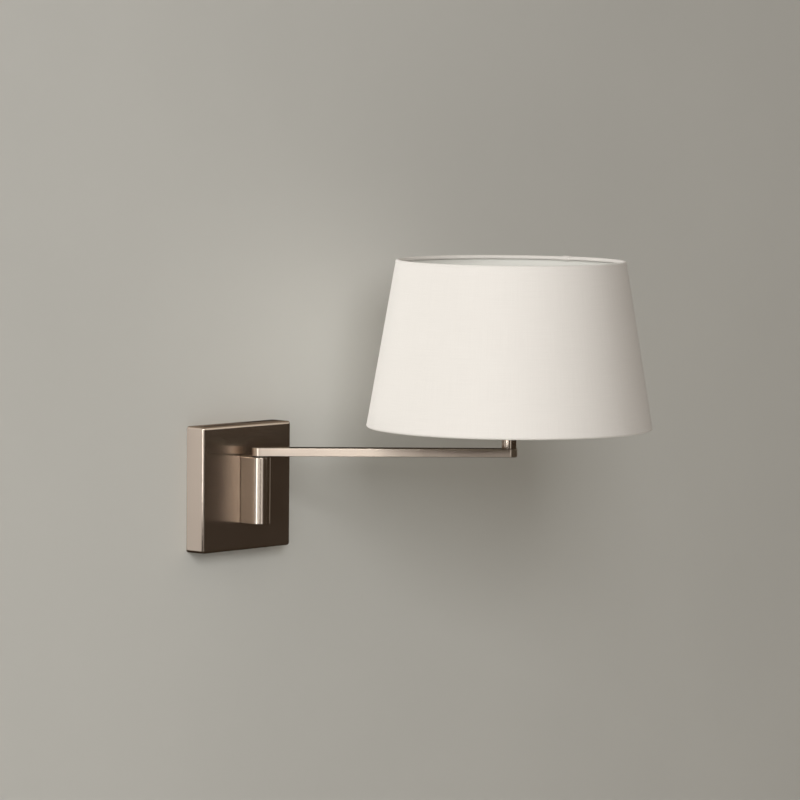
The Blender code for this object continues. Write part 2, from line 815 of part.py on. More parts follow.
def base_wires():
    """From the terminal block through the grommet, then up into the foot of the pivot tube."""
    turn = Matrix.Rotation(ARM_ANGLE, 2)
    bend = 8 * MM
    for i, name in enumerate(WIRE_NAMES):
        across, forward = turn @ Vector((-WIRE_SHIFT, (i - 1) * WIRE_PITCH))
        x = (i - 1) * TERMINAL_PITCH
        wire_y = TERMINAL_Y + 0.6 * MM
        run_z = WIRE_RUN_Z + forward
        points = [Vector((x, wire_y, 3 * MM))]
        points += bezier(
            (x, wire_y, TERMINAL_LOW - 2 * MM),
            (x, wire_y, run_z + 3 * MM),
            (across, wire_y - 2 * MM, run_z),
            (across, -BOX_DEPTH + BOX_WALL + 2 * MM, run_z),
            6,
        )
        centre = (PIVOT_Y + bend, WIRE_RUN_Z + bend)
        for y, z in arc(centre, bend - forward, 270, 180, 5):
            points.append(Vector((across, y, z)))
        points.append(Vector((across, PIVOT_Y + forward, WIRE_SPLIT_Z - 0.15 * MM)))
        tube_along(f"wire_{name}_base", points, WIRE_RADIUS, f"wire_{name}", None)


def arm_wires(pivot):
    """Up the pivot tube, along the arm, under the nipple's foot and up into the lampholder."""
    high = CHANNEL_TOP - 1.15 * MM
    low = STRIP_SEAT + 1.0 * MM
    bend = 4 * MM
    dip_start = ARM_LENGTH - 36 * MM
    dip_length = 18 * MM
    for i, name in enumerate(WIRE_NAMES):
        y = (i - 1) * WIRE_PITCH
        points = [Vector((-WIRE_SHIFT, y, WIRE_SPLIT_Z + 0.15 * MM))]
        for x, z in arc((-WIRE_SHIFT + bend, high - bend), bend, 180, 90, 4):
            points.append(Vector((x, y, z)))
        for step in range(5):
            share = step / 4
            points.append(Vector((dip_start + share * dip_length, y, blend(high, low, share))))
        last_x = ARM_LENGTH + WIRE_SHIFT
        for x, z in arc((last_x - bend, low + bend), bend, -90, 0, 4):
            points.append(Vector((x, y, z)))
        points += holder_end(name, last_x, y)
        tube_along(f"wire_{name}_arm", points, WIRE_RADIUS, f"wire_{name}", pivot)


def holder_end(name, x, y):
    """The last stretch: out of the nipple and over to the terminal of that wire."""
    if name == "earth":
        start = (x, y, NIPPLE_TOP + 0.5 * MM)
        end = (ARM_LENGTH + 11 * MM, 0, NIPPLE_TOP + 2.5 * MM)
        return bezier(start, (x, y, NIPPLE_TOP + 4 * MM), (end[0] - 4 * MM, 0, end[2] + 1.5 * MM), end, 4)
    side = HOLDER_WIRE_Y[name]
    start = (x, y, NIPPLE_TOP - 0.5 * MM)
    end = (ARM_LENGTH + 4 * MM, side, CORE_FOOT - 0.6 * MM)
    points = bezier(start, (x, y, NIPPLE_TOP + 3 * MM), (end[0], side, end[2] - 3.5 * MM), end, 5)
    return points + [Vector((end[0], side, CORE_FOOT + 4 * MM))]


def earth_bond_wire():
    """From the earth way's free end over to the ring tag on the bracket."""
    x, z = EARTH_SCREW_AT
    tag_y = -BRACKET_THICK - GAP - 0.4 * MM
    lift = tag_y - 0.4 * MM - WIRE_RADIUS - 0.15 * MM
    start = (0, TERMINAL_Y, 8 * MM)
    points = [Vector(start)]
    points += bezier(
        (0, TERMINAL_Y, TERMINAL_HIGH + 2 * MM),
        (0, TERMINAL_Y, TERMINAL_HIGH + 12 * MM),
        (x, lift - 3 * MM, TERMINAL_HIGH + 12 * MM),
        (x, lift, TERMINAL_HIGH - 6 * MM),
        8,
    )
    points.append(Vector((x, lift, z + 4.2 * MM)))
    tube_along("earth_bond_wire", points, WIRE_RADIUS, "wire_earth", None)


# ---------------------------------------------------------------- lamp head


def stem(lamp):
    ring_of("stem_nipple", TUBE_BORE, TUBE_RADIUS, NIPPLE_FOOT, NIPPLE_TOP, "zinc_steel", lamp)
    edge = 0.3 * MM
    top = STEM_TOP - GAP
    foot = ARM_TOP + GAP / 2
    profile = [
        (STEM_RADIUS - edge, top),
        (STEM_RADIUS, top - edge),
        (STEM_RADIUS, foot + edge),
        (STEM_RADIUS - edge, foot),
        (TUBE_RADIUS + 0.15 * MM, foot),
        (TUBE_RADIUS + 0.15 * MM, top),
    ]
    turned("stem_tube", profile, "satin_nickel", lamp, MEDIUM, ring=True)


def lampholder_cap(lamp):
    wall = 1.5 * MM
    outer = [
        (HOLDER_RADIUS, HOLDER_SPLIT - GAP),
        (HOLDER_RADIUS, 58.5 * MM),
        (HOLDER_RADIUS - 1.5 * MM, 54.5 * MM),
        (HOLDER_RADIUS - 5 * MM, 51 * MM),
        (HOLDER_RADIUS - 8 * MM, STEM_TOP),
    ]
    inner = [
        (TUBE_RADIUS + 0.15 * MM, STEM_TOP),
        (TUBE_RADIUS + 0.15 * MM, STEM_TOP + wall),
        (HOLDER_RADIUS - 8.5 * MM, STEM_TOP + wall),
        (HOLDER_RADIUS - 6 * MM, 52.3 * MM),
        (HOLDER_RADIUS - 3 * MM, 55.2 * MM),
        (HOLDER_RADIUS - wall, 59 * MM),
        (HOLDER_RADIUS - wall, HOLDER_SPLIT - GAP),
    ]
    turned("lampholder_cap", outer + inner, "black_plastic", lamp, MEDIUM, ring=True)


def lampholder_skirt(lamp):
    """The outer sleeve, with the ridges that the two shade rings screw onto."""
    wall = 1.6 * MM
    ridge = 0.5 * MM
    profile = [(HOLDER_RADIUS - 0.4 * MM, HOLDER_TOP), (HOLDER_RADIUS, HOLDER_TOP - 0.4 * MM)]
    ridges_top = 95 * MM
    for i in range(6):
        middle = ridges_top - (i + 0.5) * 4 * MM
        profile.append((HOLDER_RADIUS - ridge, middle + 1.0 * MM))
        profile.append((HOLDER_RADIUS, middle))
    profile += [
        (HOLDER_RADIUS - ridge, ridges_top - 25 * MM),
        (HOLDER_RADIUS, ridges_top - 25.5 * MM),
        (HOLDER_RADIUS, HOLDER_SPLIT),
        (HOLDER_RADIUS - wall - ridge, HOLDER_SPLIT),
        (HOLDER_RADIUS - wall - ridge, HOLDER_TOP),
    ]
    turned("lampholder_skirt", profile, "black_plastic", lamp, MEDIUM, ring=True)


def lampholder_core(lamp):
    """The porcelain disc that carries the live parts."""
    radius = HOLDER_RADIUS - 2.4 * MM
    profile = [(0, CORE_TOP), (radius, CORE_TOP), (radius, CORE_FOOT), (0, CORE_FOOT)]
    core = turned("lampholder_core", profile, "porcelain", lamp)
    for name in ("live", "neutral"):
        side = HOLDER_WIRE_Y[name]
        way = rod(
            f"core_way_{name}",
            1.3 * MM,
            (4 * MM, side, CORE_FOOT - MM),
            (4 * MM, side, CORE_TOP - 4 * MM),
            None,
            lamp,
            SMALL,
        )
        hole = rod(
            f"core_screw_{name}",
            1.3 * MM,
            (-4 * MM, side, CORE_FOOT - MM),
            (-4 * MM, side, CORE_TOP - 4 * MM),
            None,
            lamp,
            SMALL,
        )
        cut(core, way, hole)
        place = (-4 * MM, side, CORE_FOOT - GAP)
        sizes = ((2.4 * MM, 1.5 * MM), (1.1 * MM, 6 * MM))
        screw(f"holder_screw_{name}", *sizes, place, (0, 0, 1), lamp, "brass")


def thread_line(radius, low, high, phase=0.0):
    """Heights from low to high with the radius of a rolled lamp thread."""
    count = round((high - low) / (THREAD_PITCH / 2))
    points = []
    for i in range(count + 1):
        height = low + (high - low) * i / count
        points.append((radius + THREAD_DEPTH * math.cos(math.pi * i + phase), height))
    return points


def lampholder_shell(lamp):
    """The brass screw shell, closed below round the centre contact."""
    inner_radius = THREAD_RADIUS + 1.0 * MM
    foot = CORE_TOP + GAP
    sheet = 0.45 * MM
    inner = thread_line(inner_radius, foot + 3 * MM, HOLDER_TOP - 3 * MM)
    outer = [(radius + sheet, height) for radius, height in reversed(inner)]
    floor = [
        (inner_radius + sheet, foot),
        (6.5 * MM, foot),
        (6.5 * MM, foot + sheet),
        (inner_radius - THREAD_DEPTH, foot + sheet),
    ]
    turned("lampholder_shell", outer + floor + inner, "brass", lamp, THREADED, ring=True)


def centre_contact(lamp):
    """A bent spring strip that presses on the bulb's contact."""
    foot = CORE_TOP + GAP + 0.25 * MM
    tip = foot + 2.2 * MM
    line = [(-5.5 * MM, foot), (-2.5 * MM, foot), (0, tip), (3 * MM, tip), (4.2 * MM, tip - MM)]
    bm = bmesh.new()
    rows = []
    for x, z in line:
        rows.append([bm.verts.new((x, side * 1.6 * MM, z)) for side in (-1, 1)])
    for first, second in zip(rows, rows[1:]):
        bm.faces.new((first[0], second[0], second[1], first[1]))
    strip = add("centre_contact", mesh_of("centre_contact", bm), "brass", lamp)
    solid = strip.modifiers.new("Thickness", "SOLIDIFY")
    solid.thickness = 0.4 * MM
    solid.offset = 0


def shade_rings(lamp):
    """The two threaded rings that clamp the shade carrier between them."""
    inner = HOLDER_RADIUS + 0.35 * MM
    outer = 25.5 * MM
    edge = 0.6 * MM
    lows = {"shade_ring_lower": CARRIER_Z - 4.3 * MM, "shade_ring_upper": CARRIER_Z + 1.8 * MM}
    for name, low in lows.items():
        high = low + 4 * MM
        profile = [
            (outer - edge, high),
            (outer, high - edge),
            (outer, low + edge),
            (outer - edge, low),
            (inner, low),
            (inner, high),
        ]
        turned(name, profile, "black_plastic", lamp, MEDIUM, ring=True)


def bulb(lamp):
    """A pear-shaped opal bulb in its screw cap."""
    button = CORE_TOP + GAP + 3.1 * MM
    back = button + 1.7 * MM
    profile = [(0, back), (4.5 * MM, back), (4.5 * MM, button + 0.6 * MM), (3.2 * MM, button), (0, button)]
    turned("bulb_contact", profile, "brass", lamp, SMALL)
    sheet = 0.4 * MM
    foot = button + 2.1 * MM
    outer = list(reversed(thread_line(THREAD_RADIUS, foot + 3.2 * MM, HOLDER_TOP - 2.5 * MM)))
    outer = [(THREAD_RADIUS + 0.2 * MM, HOLDER_TOP - 1 * MM)] + outer + [(5.5 * MM, foot)]
    inner = [(radius - sheet, height + 0.05 * MM) for radius, height in reversed(outer[1:])]
    inner += [(THREAD_RADIUS + 0.2 * MM - sheet, HOLDER_TOP - 1 * MM)]
    turned("bulb_cap", outer + inner, "nickel_cap", lamp, THREADED, ring=True)
    turned("bulb_glass", bulb_profile(), "opal_glass", lamp, MEDIUM, ring=False)


def bulb_profile():
    """Down the outside from the crown to the neck, then up the inside, as one wall open at the neck."""
    neck_radius = 11.7 * MM
    neck_foot = 90 * MM
    wall = 0.9 * MM
    outer = arc((0, BULB_CENTRE), BULB_RADIUS, 90, -38, 8)
    shoulder_radius, shoulder_height = outer[-1]
    for step in (1, 2, 3, 4):
        share = step / 4
        height = shoulder_height + (HOLDER_TOP + 2 * MM - shoulder_height) * share
        outer.append((blend(shoulder_radius, neck_radius + 0.6 * MM, share**0.8), height))
    outer.append((neck_radius, HOLDER_TOP - 2 * MM))
    outer.append((neck_radius, neck_foot))
    outer[0] = (0, outer[0][1])
    inner = [(max(radius - wall, 0), height) for radius, height in reversed(outer[1:])]
    inner = [(radius, min(height, BULB_CENTRE + BULB_RADIUS - 1.5 * MM)) for radius, height in inner]
    return outer + inner + [(0, BULB_CENTRE + BULB_RADIUS - wall)]


# ---------------------------------------------------------------- shade


def shade_radius(height):
    """The outer radius of the shade at a height."""
    share = (height - SHADE_BOTTOM) / (SHADE_TOP - SHADE_BOTTOM)
    return SHADE_BOTTOM_RADIUS + (SHADE_TOP_RADIUS - SHADE_BOTTOM_RADIUS) * share


def cone_shell(name, low, high, inset, thickness, material, lamp):
    profile = [
        (shade_radius(high) - inset, high),
        (shade_radius(low) - inset, low),
        (shade_radius(low) - inset - thickness, low),
        (shade_radius(high) - inset - thickness, high),
    ]
    return turned(name, profile, material, lamp, FINE, ring=True)


def shade_skin(lamp):
    cover = cone_shell(
        "shade_cover",
        SHADE_BOTTOM + 2.6 * MM,
        SHADE_TOP - 2.6 * MM,
        0,
        COVER_THICK,
        "shade_fabric",
        lamp,
    )
    lining = cone_shell(
        "shade_lining",
        SHADE_BOTTOM + 3.6 * MM,
        SHADE_TOP - 3.6 * MM,
        LINING_INSET,
        LINING_THICK,
        "shade_lining",
        lamp,
    )
    return cover, lining


def rim_centre(height):
    """Where the rim wire runs at a rim: its radius and height."""
    return shade_radius(height) - HEM_RADIUS + HEM_PROUD, height


def rim_wire(name, height, material, lamp):
    radius, height = rim_centre(height)
    profile = arc((radius, height), RIM_WIRE_RADIUS, 90, -210, 5)
    return turned(name, profile, material, lamp, FINE, ring=True)


def hem(name, height, start, end, lamp):
    """Fabric rolled round a rim wire, from an angle outside the wire round to one inside it."""
    centre = rim_centre(height)
    outer = arc(centre, HEM_RADIUS, start, end, 4)
    inner = arc(centre, HEM_RADIUS - HEM_THICK, end, start, 4)
    profile = outer + inner
    if end > start:
        profile.reverse()
    return turned(name, profile, "shade_fabric", lamp, FINE, ring=True)


def shade_hems(lamp, spokes):
    bottom = hem("shade_hem_bottom", BOTTOM_RIM_Z, 10, -215, lamp)
    hem("shade_hem_top", TOP_RIM_Z, -10, 215, lamp)
    for index, angle in enumerate(spokes):
        reach = SHADE_BOTTOM_RADIUS - 2.6 * MM
        notch = box(
            f"hem_notch_{index}",
            (reach - 6 * MM, -2 * MM, BOTTOM_RIM_Z - 1.6 * MM),
            (reach, 2 * MM, BOTTOM_RIM_Z + 8 * MM),
            None,
            lamp,
        )
        notch.rotation_euler = (0, 0, angle)
        cut(bottom, notch)


def shade_carrier(lamp, spokes):
    """A flat ring for the lampholder, three spokes and the lower rim wire, welded into one frame."""
    frame = ring_of(
        "shade_carrier",
        HOLDER_RADIUS + 0.6 * MM,
        28 * MM,
        CARRIER_Z,
        CARRIER_Z + 1.5 * MM,
        "white_wire",
        lamp,
    )
    rim = rim_wire("carrier_rim", BOTTOM_RIM_Z, None, lamp)
    pieces = [rim]
    rim_radius, rim_height = rim_centre(BOTTOM_RIM_Z)
    for index, angle in enumerate(spokes):
        line = [
            (26.3 * MM, 0, CARRIER_Z + 0.75 * MM),
            (35 * MM, 0, CARRIER_Z + 0.75 * MM),
            (rim_radius - 9 * MM, 0, rim_height + 3.4 * MM),
            (rim_radius, 0, rim_height),
        ]
        guide = tube_along(f"carrier_spoke_wire_{index}", line, SPOKE_RADIUS, None, lamp)
        guide.rotation_euler = (0, 0, angle)
        pieces.append(as_mesh(guide, f"carrier_spoke_{index}", None))
    join(frame, *pieces)


def shade_seam(lamp):
    """The overlap of the cover's two ends, a strip down the back."""
    half = SEAM_WIDTH / 2
    low = SHADE_BOTTOM + 3.2 * MM
    high = SHADE_TOP - 3.2 * MM
    lift = 0.45 * MM
    bm = bmesh.new()
    rows = []
    for height in (low, high):
        radius = shade_radius(height) + lift
        row = []
        for i in range(-2, 3):
            turn = math.radians(SEAM_ANGLE) + i / 2 * half / radius
            row.append(bm.verts.new((radius * math.cos(turn), radius * math.sin(turn), height)))
        rows.append(row)
    for i in range(4):
        bm.faces.new((rows[0][i], rows[0][i + 1], rows[1][i + 1], rows[1][i]))
    strip = add("shade_seam", mesh_of("shade_seam", bm), "shade_fabric", lamp)
    solid = strip.modifiers.new("Thickness", "SOLIDIFY")
    solid.thickness = 0.35 * MM
    solid.offset = 0


def smooth_shading():
    """Every mesh evaluated once and shaded smooth across its shallow edges."""
    bpy.context.view_layer.update()
    graph = bpy.context.evaluated_depsgraph_get()
    made = {}
    for obj in PARTS.objects:
        if obj.type == "MESH":
            made[obj] = bpy.data.meshes.new_from_object(obj.evaluated_get(graph))
    for obj, mesh in made.items():
        obj.modifiers.clear()
        obj.data = mesh
        mesh.name = obj.name
        mesh.shade_smooth()
        mesh.set_sharp_from_angle(angle=math.radians(35))


def build():
    wall_bracket()
    backplate_cover()
    cover_screws()
    terminal_block()
    terminal_block_screw()
    earth_point()
    cable_grommet()
    pivot_housing()
    housing_screws()
    housing_bottom_cap()
    bushes()
    stop_screw()
    base_wires()
    earth_bond_wire()

    pivot = empty("arm_pivot", (0, PIVOT_Y, 0), ARM_ANGLE)
    lamp = empty("lamp_axis", (ARM_LENGTH, 0, 0), 0, pivot)
    bpy.context.view_layer.update()
    pivot_tube(pivot)
    pivot_washers(pivot)
    stop_collar(pivot)
    pivot_nuts(pivot)
    arm_beam(pivot)
    arm_cover_strip(pivot)
    arm_wires(pivot)
    stem(lamp)
    lampholder_cap(lamp)
    lampholder_skirt(lamp)
    lampholder_core(lamp)
    lampholder_shell(lamp)
    centre_contact(lamp)
    shade_rings(lamp)
    bulb(lamp)
    spokes = [math.radians(angle) - ARM_ANGLE for angle in SPOKE_ANGLES]
    shade_skin(lamp)
    rim_wire("shade_top_ring", TOP_RIM_Z, "white_wire", lamp)
    shade_hems(lamp, spokes)
    shade_carrier(lamp, spokes)
    shade_seam(lamp)
    smooth_shading()


clear_scene()
PARTS = new_collection("swing_arm_wall_sconce")
CUTTERS = new_collection("cutters", hidden=True)
MATERIALS = make_materials()
build()
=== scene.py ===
"""Looks for the swing arm wall sconce: materials, finer visible pieces, room, lights and camera.

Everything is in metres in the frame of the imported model: the wall is the plane Y = 0, the light stands out
of it towards -Y, and +Z is up.
"""

import json
import math

import bmesh
import bpy
from mathutils import Matrix, Vector


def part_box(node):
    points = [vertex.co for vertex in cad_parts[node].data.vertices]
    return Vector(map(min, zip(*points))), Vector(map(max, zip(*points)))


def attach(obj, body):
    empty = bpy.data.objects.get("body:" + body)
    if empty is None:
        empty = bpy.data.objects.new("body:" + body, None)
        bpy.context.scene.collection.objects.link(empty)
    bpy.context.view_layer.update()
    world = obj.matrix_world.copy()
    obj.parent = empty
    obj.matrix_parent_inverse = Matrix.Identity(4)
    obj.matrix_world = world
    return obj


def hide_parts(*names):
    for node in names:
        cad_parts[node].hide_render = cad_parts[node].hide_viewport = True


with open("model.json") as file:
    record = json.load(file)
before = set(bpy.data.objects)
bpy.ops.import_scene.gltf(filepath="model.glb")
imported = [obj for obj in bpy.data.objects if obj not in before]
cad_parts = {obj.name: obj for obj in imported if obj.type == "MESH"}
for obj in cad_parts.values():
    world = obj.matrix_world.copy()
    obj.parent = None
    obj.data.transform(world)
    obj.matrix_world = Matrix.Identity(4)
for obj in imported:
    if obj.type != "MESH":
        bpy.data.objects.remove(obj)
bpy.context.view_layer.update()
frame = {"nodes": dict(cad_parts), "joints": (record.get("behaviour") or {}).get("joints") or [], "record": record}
NODES = frame["nodes"]
MM = 0.001

# Camera
CAMERA_AZIMUTH = 48.15  # degrees to the left of the wall's normal
CAMERA_ELEVATION = 4.40
CAMERA_DISTANCE = 4.15
CAMERA_AIM = Vector((0.11346, -0.1, 0.07636))
CAMERA_ROLL = 0.0097  # radians
CAMERA_LENS = 208.84
SENSOR = 36

# Room
WALL_PAINT = (0.62, 0.62, 0.59)
FLOOR_PAINT = (0.6, 0.59, 0.56)
FLOOR_Z = -0.8
ROOM_REACH = 6.0
WALL_GAP = 0.4 * MM  # keeps the wall's face just behind the bracket

# Light
LIGHT_COLOUR = (1, 0.995, 0.985)
LIGHT_AIM = Vector((0.1, -0.1, 0.05))  # the point that every light faces
ROOM_LOW = (0.046, 0.034, 0.024, 1)
ROOM_HIGH = (0.293, 0.25, 0.205, 1)
ROOM_FADE = (0.1, 0.6)  # heights of direction between which the room brightens

# Surfaces
NICKEL_COLOUR = (0.64, 0.545, 0.46)
NICKEL_EDGE = (0.5, 0.45, 0.4, 1)  # tint of the reflection at a grazing angle
METAL_GRAIN = 0.0008 * MM  # depth of the brushed scratches
SCRATCH_ACROSS = 3500  # how fast the scratches change across their length, per metre
SCRATCH_ALONG = 25  # and along it
LEVEL_ROUGHNESS = 0.3  # of the arm's level faces, as a share of its sides'
CLOTH_COLOUR = (0.80, 0.773, 0.74)
LINING_COLOUR = (0.82, 0.82, 0.785)
WEAVE_PITCH = 0.42 * MM
STRIPE_SCALE = 60  # of the earth wire's stripe
SMOOTH_ANGLE = 40  # degrees; a piece's edges that are sharper stay sharp


# ---------------------------------------------------------------- mesh helpers


def finish_mesh(name, bm, material, body, sharp=SMOOTH_ANGLE):
    """A closed mesh as a piece that rides on a body, smooth across its shallow edges."""
    bmesh.ops.recalc_face_normals(bm, faces=bm.faces)
    mesh = bpy.data.meshes.new(name)
    bm.to_mesh(mesh)
    bm.free()
    mesh.shade_smooth()
    mesh.set_sharp_from_angle(angle=math.radians(sharp))
    obj = bpy.data.objects.new(name, mesh)
    bpy.context.scene.collection.objects.link(obj)
    mesh.materials.append(material)
    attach(obj, body)
    return obj


def loft(bm, rings, closed=False, caps=True):
    """Joins rings of the same number of points into one skin, and closes its two ends."""
    rows = [[bm.verts.new(point) for point in ring] for ring in rings]
    pairs = list(zip(rows, rows[1:]))
    if closed:
        pairs.append((rows[-1], rows[0]))
    for first, second in pairs:
        count = len(first)
        for i in range(count):
            j = (i + 1) % count
            bm.faces.new((first[i], first[j], second[j], second[i]))
    if caps and not closed:
        bm.faces.new(rows[0])
        bm.faces.new(rows[-1])
    return rows


def arc(centre, radius, start, end, count):
    """Points on an arc from one angle in degrees to another, both ends included."""
    points = []
    for i in range(count + 1):
        angle = math.radians(start + (end - start) * i / count)
        points.append((centre[0] + radius * math.cos(angle), centre[1] + radius * math.sin(angle)))
    return points


def inset(outline, distance):
    """A convex outline drawn anticlockwise, moved inwards."""
    moved = []
    count = len(outline)
    for i in range(count):
        before = Vector(outline[i - 1])
        here = Vector(outline[i])
        after = Vector(outline[(i + 1) % count])
        first = (here - before).normalized()
        second = (after - here).normalized()
        normals = (Vector((-first.y, first.x)), Vector((-second.y, second.x)))
        middle = (normals[0] + normals[1]).normalized()
        moved.append(here + middle * (distance / max(middle.dot(normals[0]), 0.3)))
    return moved


def edge_steps(radius, count=5, margin=0.12):
    """(inset, depth) along a rounded edge, with one step beyond each end so that flat faces stay flat."""
    steps = [(0, radius * (1 + margin))]
    for i in range(count + 1):
        angle = math.pi / 2 * i / count
        steps.append((radius * (1 - math.cos(angle)), radius * (1 - math.sin(angle))))
    steps.append((radius * (1 + margin), 0))
    return steps


def slab_rings(outline, low, high, radius):
    """Rings of a slab along Z whose upper and lower edges are rounded."""
    steps = edge_steps(radius)
    lower = [(distance, low + depth) for distance, depth in reversed(steps)]
    upper = [(distance, high - depth) for distance, depth in steps]
    return [[(*point, height) for point in inset(outline, distance)] for distance, height in lower + upper]


def on_circle(centre, radius, turn, height):
    return (centre[0] + radius * math.cos(turn), centre[1] + radius * math.sin(turn), height)


def lathe(bm, profile, centre, steps, start=0.0):
    """A closed profile of (radius, height) turned about a vertical axis.

    Points on the axis become one vertex.
    """
    rows = []
    for radius, height in profile:
        if radius < 1e-7:
            rows.append([bm.verts.new((centre[0], centre[1], height))])
            continue
        row = []
        for i in range(steps):
            turn = 2 * math.pi * i / steps + start
            row.append(bm.verts.new(on_circle(centre, radius, turn, height)))
        rows.append(row)
    for first, second in zip(rows, rows[1:] + rows[:1]):
        if len(first) == 1 and len(second) == 1:
            continue
        for i in range(steps):
            j = (i + 1) % steps
            if len(first) == 1:
                bm.faces.new((first[0], second[j], second[i]))
            elif len(second) == 1:
                bm.faces.new((first[i], first[j], second[0]))
            else:
                bm.faces.new((first[i], first[j], second[j], second[i]))


def curve_past(start, corner, end, count):
    """Points on a smooth curve from start to end that is drawn towards a corner."""
    points = []
    for i in range(count + 1):
        t = i / count
        points.append(start * (1 - t) ** 2 + corner * 2 * t * (1 - t) + end * t**2)
    return points


def rounded(profile, radius, count=3):
    """A closed profile with its corners rounded."""
    made = []
    size = len(profile)
    for i in range(size):
        before = Vector(profile[i - 1])
        here = Vector(profile[i])
        after = Vector(profile[(i + 1) % size])
        back = before - here
        on = after - here
        if here.x < 1e-7 or back.length < 1e-7 or on.length < 1e-7:
            made.append(tuple(here))
            continue
        reach = min(radius, 0.45 * back.length, 0.45 * on.length)
        start = here + back.normalized() * reach
        end = here + on.normalized() * reach
        made += [tuple(point) for point in curve_past(start, here, end, count)]
    return made


def turned_piece(name, profile, centre, material, body, steps=96, radius=0.0, sharp=SMOOTH_ANGLE):
    bm = bmesh.new()
    lathe(bm, rounded(profile, radius) if radius else profile, centre, steps)
    return finish_mesh(name, bm, material, body, sharp)


def drill(obj, *rods):
    """Cuts round holes, each (radius, start, end), into a piece and keeps its sharp edges sharp."""
    cutters = []
    for radius, start, end in rods:
        start = Vector(start)
        end = Vector(end)
        along = end - start
        bm = bmesh.new()
        turn = along.to_track_quat("Z", "Y").to_matrix().to_4x4()
        place = Matrix.Translation((start + end) / 2) @ turn
        bmesh.ops.create_cone(
            bm, cap_ends=True, segments=64, radius1=radius, radius2=radius, depth=along.length, matrix=place
        )
        mesh = bpy.data.meshes.new("cutter")
        bm.to_mesh(mesh)
        bm.free()
        cutter = bpy.data.objects.new("cutter", mesh)
        bpy.context.scene.collection.objects.link(cutter)
        cutters.append(cutter)
    cut_away(obj, cutters)


def cut_away(obj, cutters):
    """Cuts other objects out of a piece, and removes them."""
    for cutter in cutters:
        modifier = obj.modifiers.new("cut", "BOOLEAN")
        modifier.operation = "DIFFERENCE"
        modifier.solver = "EXACT"
        modifier.object = cutter
    bake(obj)
    for cutter in cutters:
        bpy.data.objects.remove(cutter, do_unlink=True)


def bake(obj):
    """Replaces a piece's mesh by what its modifiers make of it."""
    bpy.context.view_layer.update()
    graph = bpy.context.evaluated_depsgraph_get()
    mesh = bpy.data.meshes.new_from_object(obj.evaluated_get(graph))
    obj.modifiers.clear()
    obj.data = mesh
    mesh.shade_smooth()
    mesh.set_sharp_from_angle(angle=math.radians(SMOOTH_ANGLE))


def smooth_group():
    """Geometry nodes that merge a CAD mesh's split faces and shade it smooth across shallow edges."""
    group = bpy.data.node_groups.new("smooth_cad", "GeometryNodeTree")
    group.interface.new_socket("Geometry", in_out="INPUT", socket_type="NodeSocketGeometry")
    group.interface.new_socket("Geometry", in_out="OUTPUT", socket_type="NodeSocketGeometry")
    start = group.nodes.new("NodeGroupInput")
    end = group.nodes.new("NodeGroupOutput")
    plain = group.nodes.new("GeometryNodeRemoveAttribute")
    plain.inputs["Name"].default_value = "custom_normal"
    merge = group.nodes.new("GeometryNodeMergeByDistance")
    merge.inputs["Distance"].default_value = 0.002 * MM
    faces = group.nodes.new("GeometryNodeSetShadeSmooth")
    edges = group.nodes.new("GeometryNodeSetShadeSmooth")
    edges.domain = "EDGE"
    angle = group.nodes.new("GeometryNodeInputMeshEdgeAngle")
    shallow = group.nodes.new("FunctionNodeCompare")
    shallow.operation = "LESS_THAN"
    shallow.inputs["B"].default_value = math.radians(35)
    link = group.links.new
    link(start.outputs[0], plain.inputs["Geometry"])
    link(plain.outputs["Geometry"], merge.inputs["Geometry"])
    link(merge.outputs["Geometry"], faces.inputs["Geometry"])
    link(faces.outputs["Geometry"], edges.inputs["Geometry"])
    link(angle.outputs["Unsigned Angle"], shallow.inputs["A"])
    link(shallow.outputs["Result"], edges.inputs["Shade Smooth"])
    link(edges.outputs["Geometry"], end.inputs[0])
    return group


# ---------------------------------------------------------------- material helpers


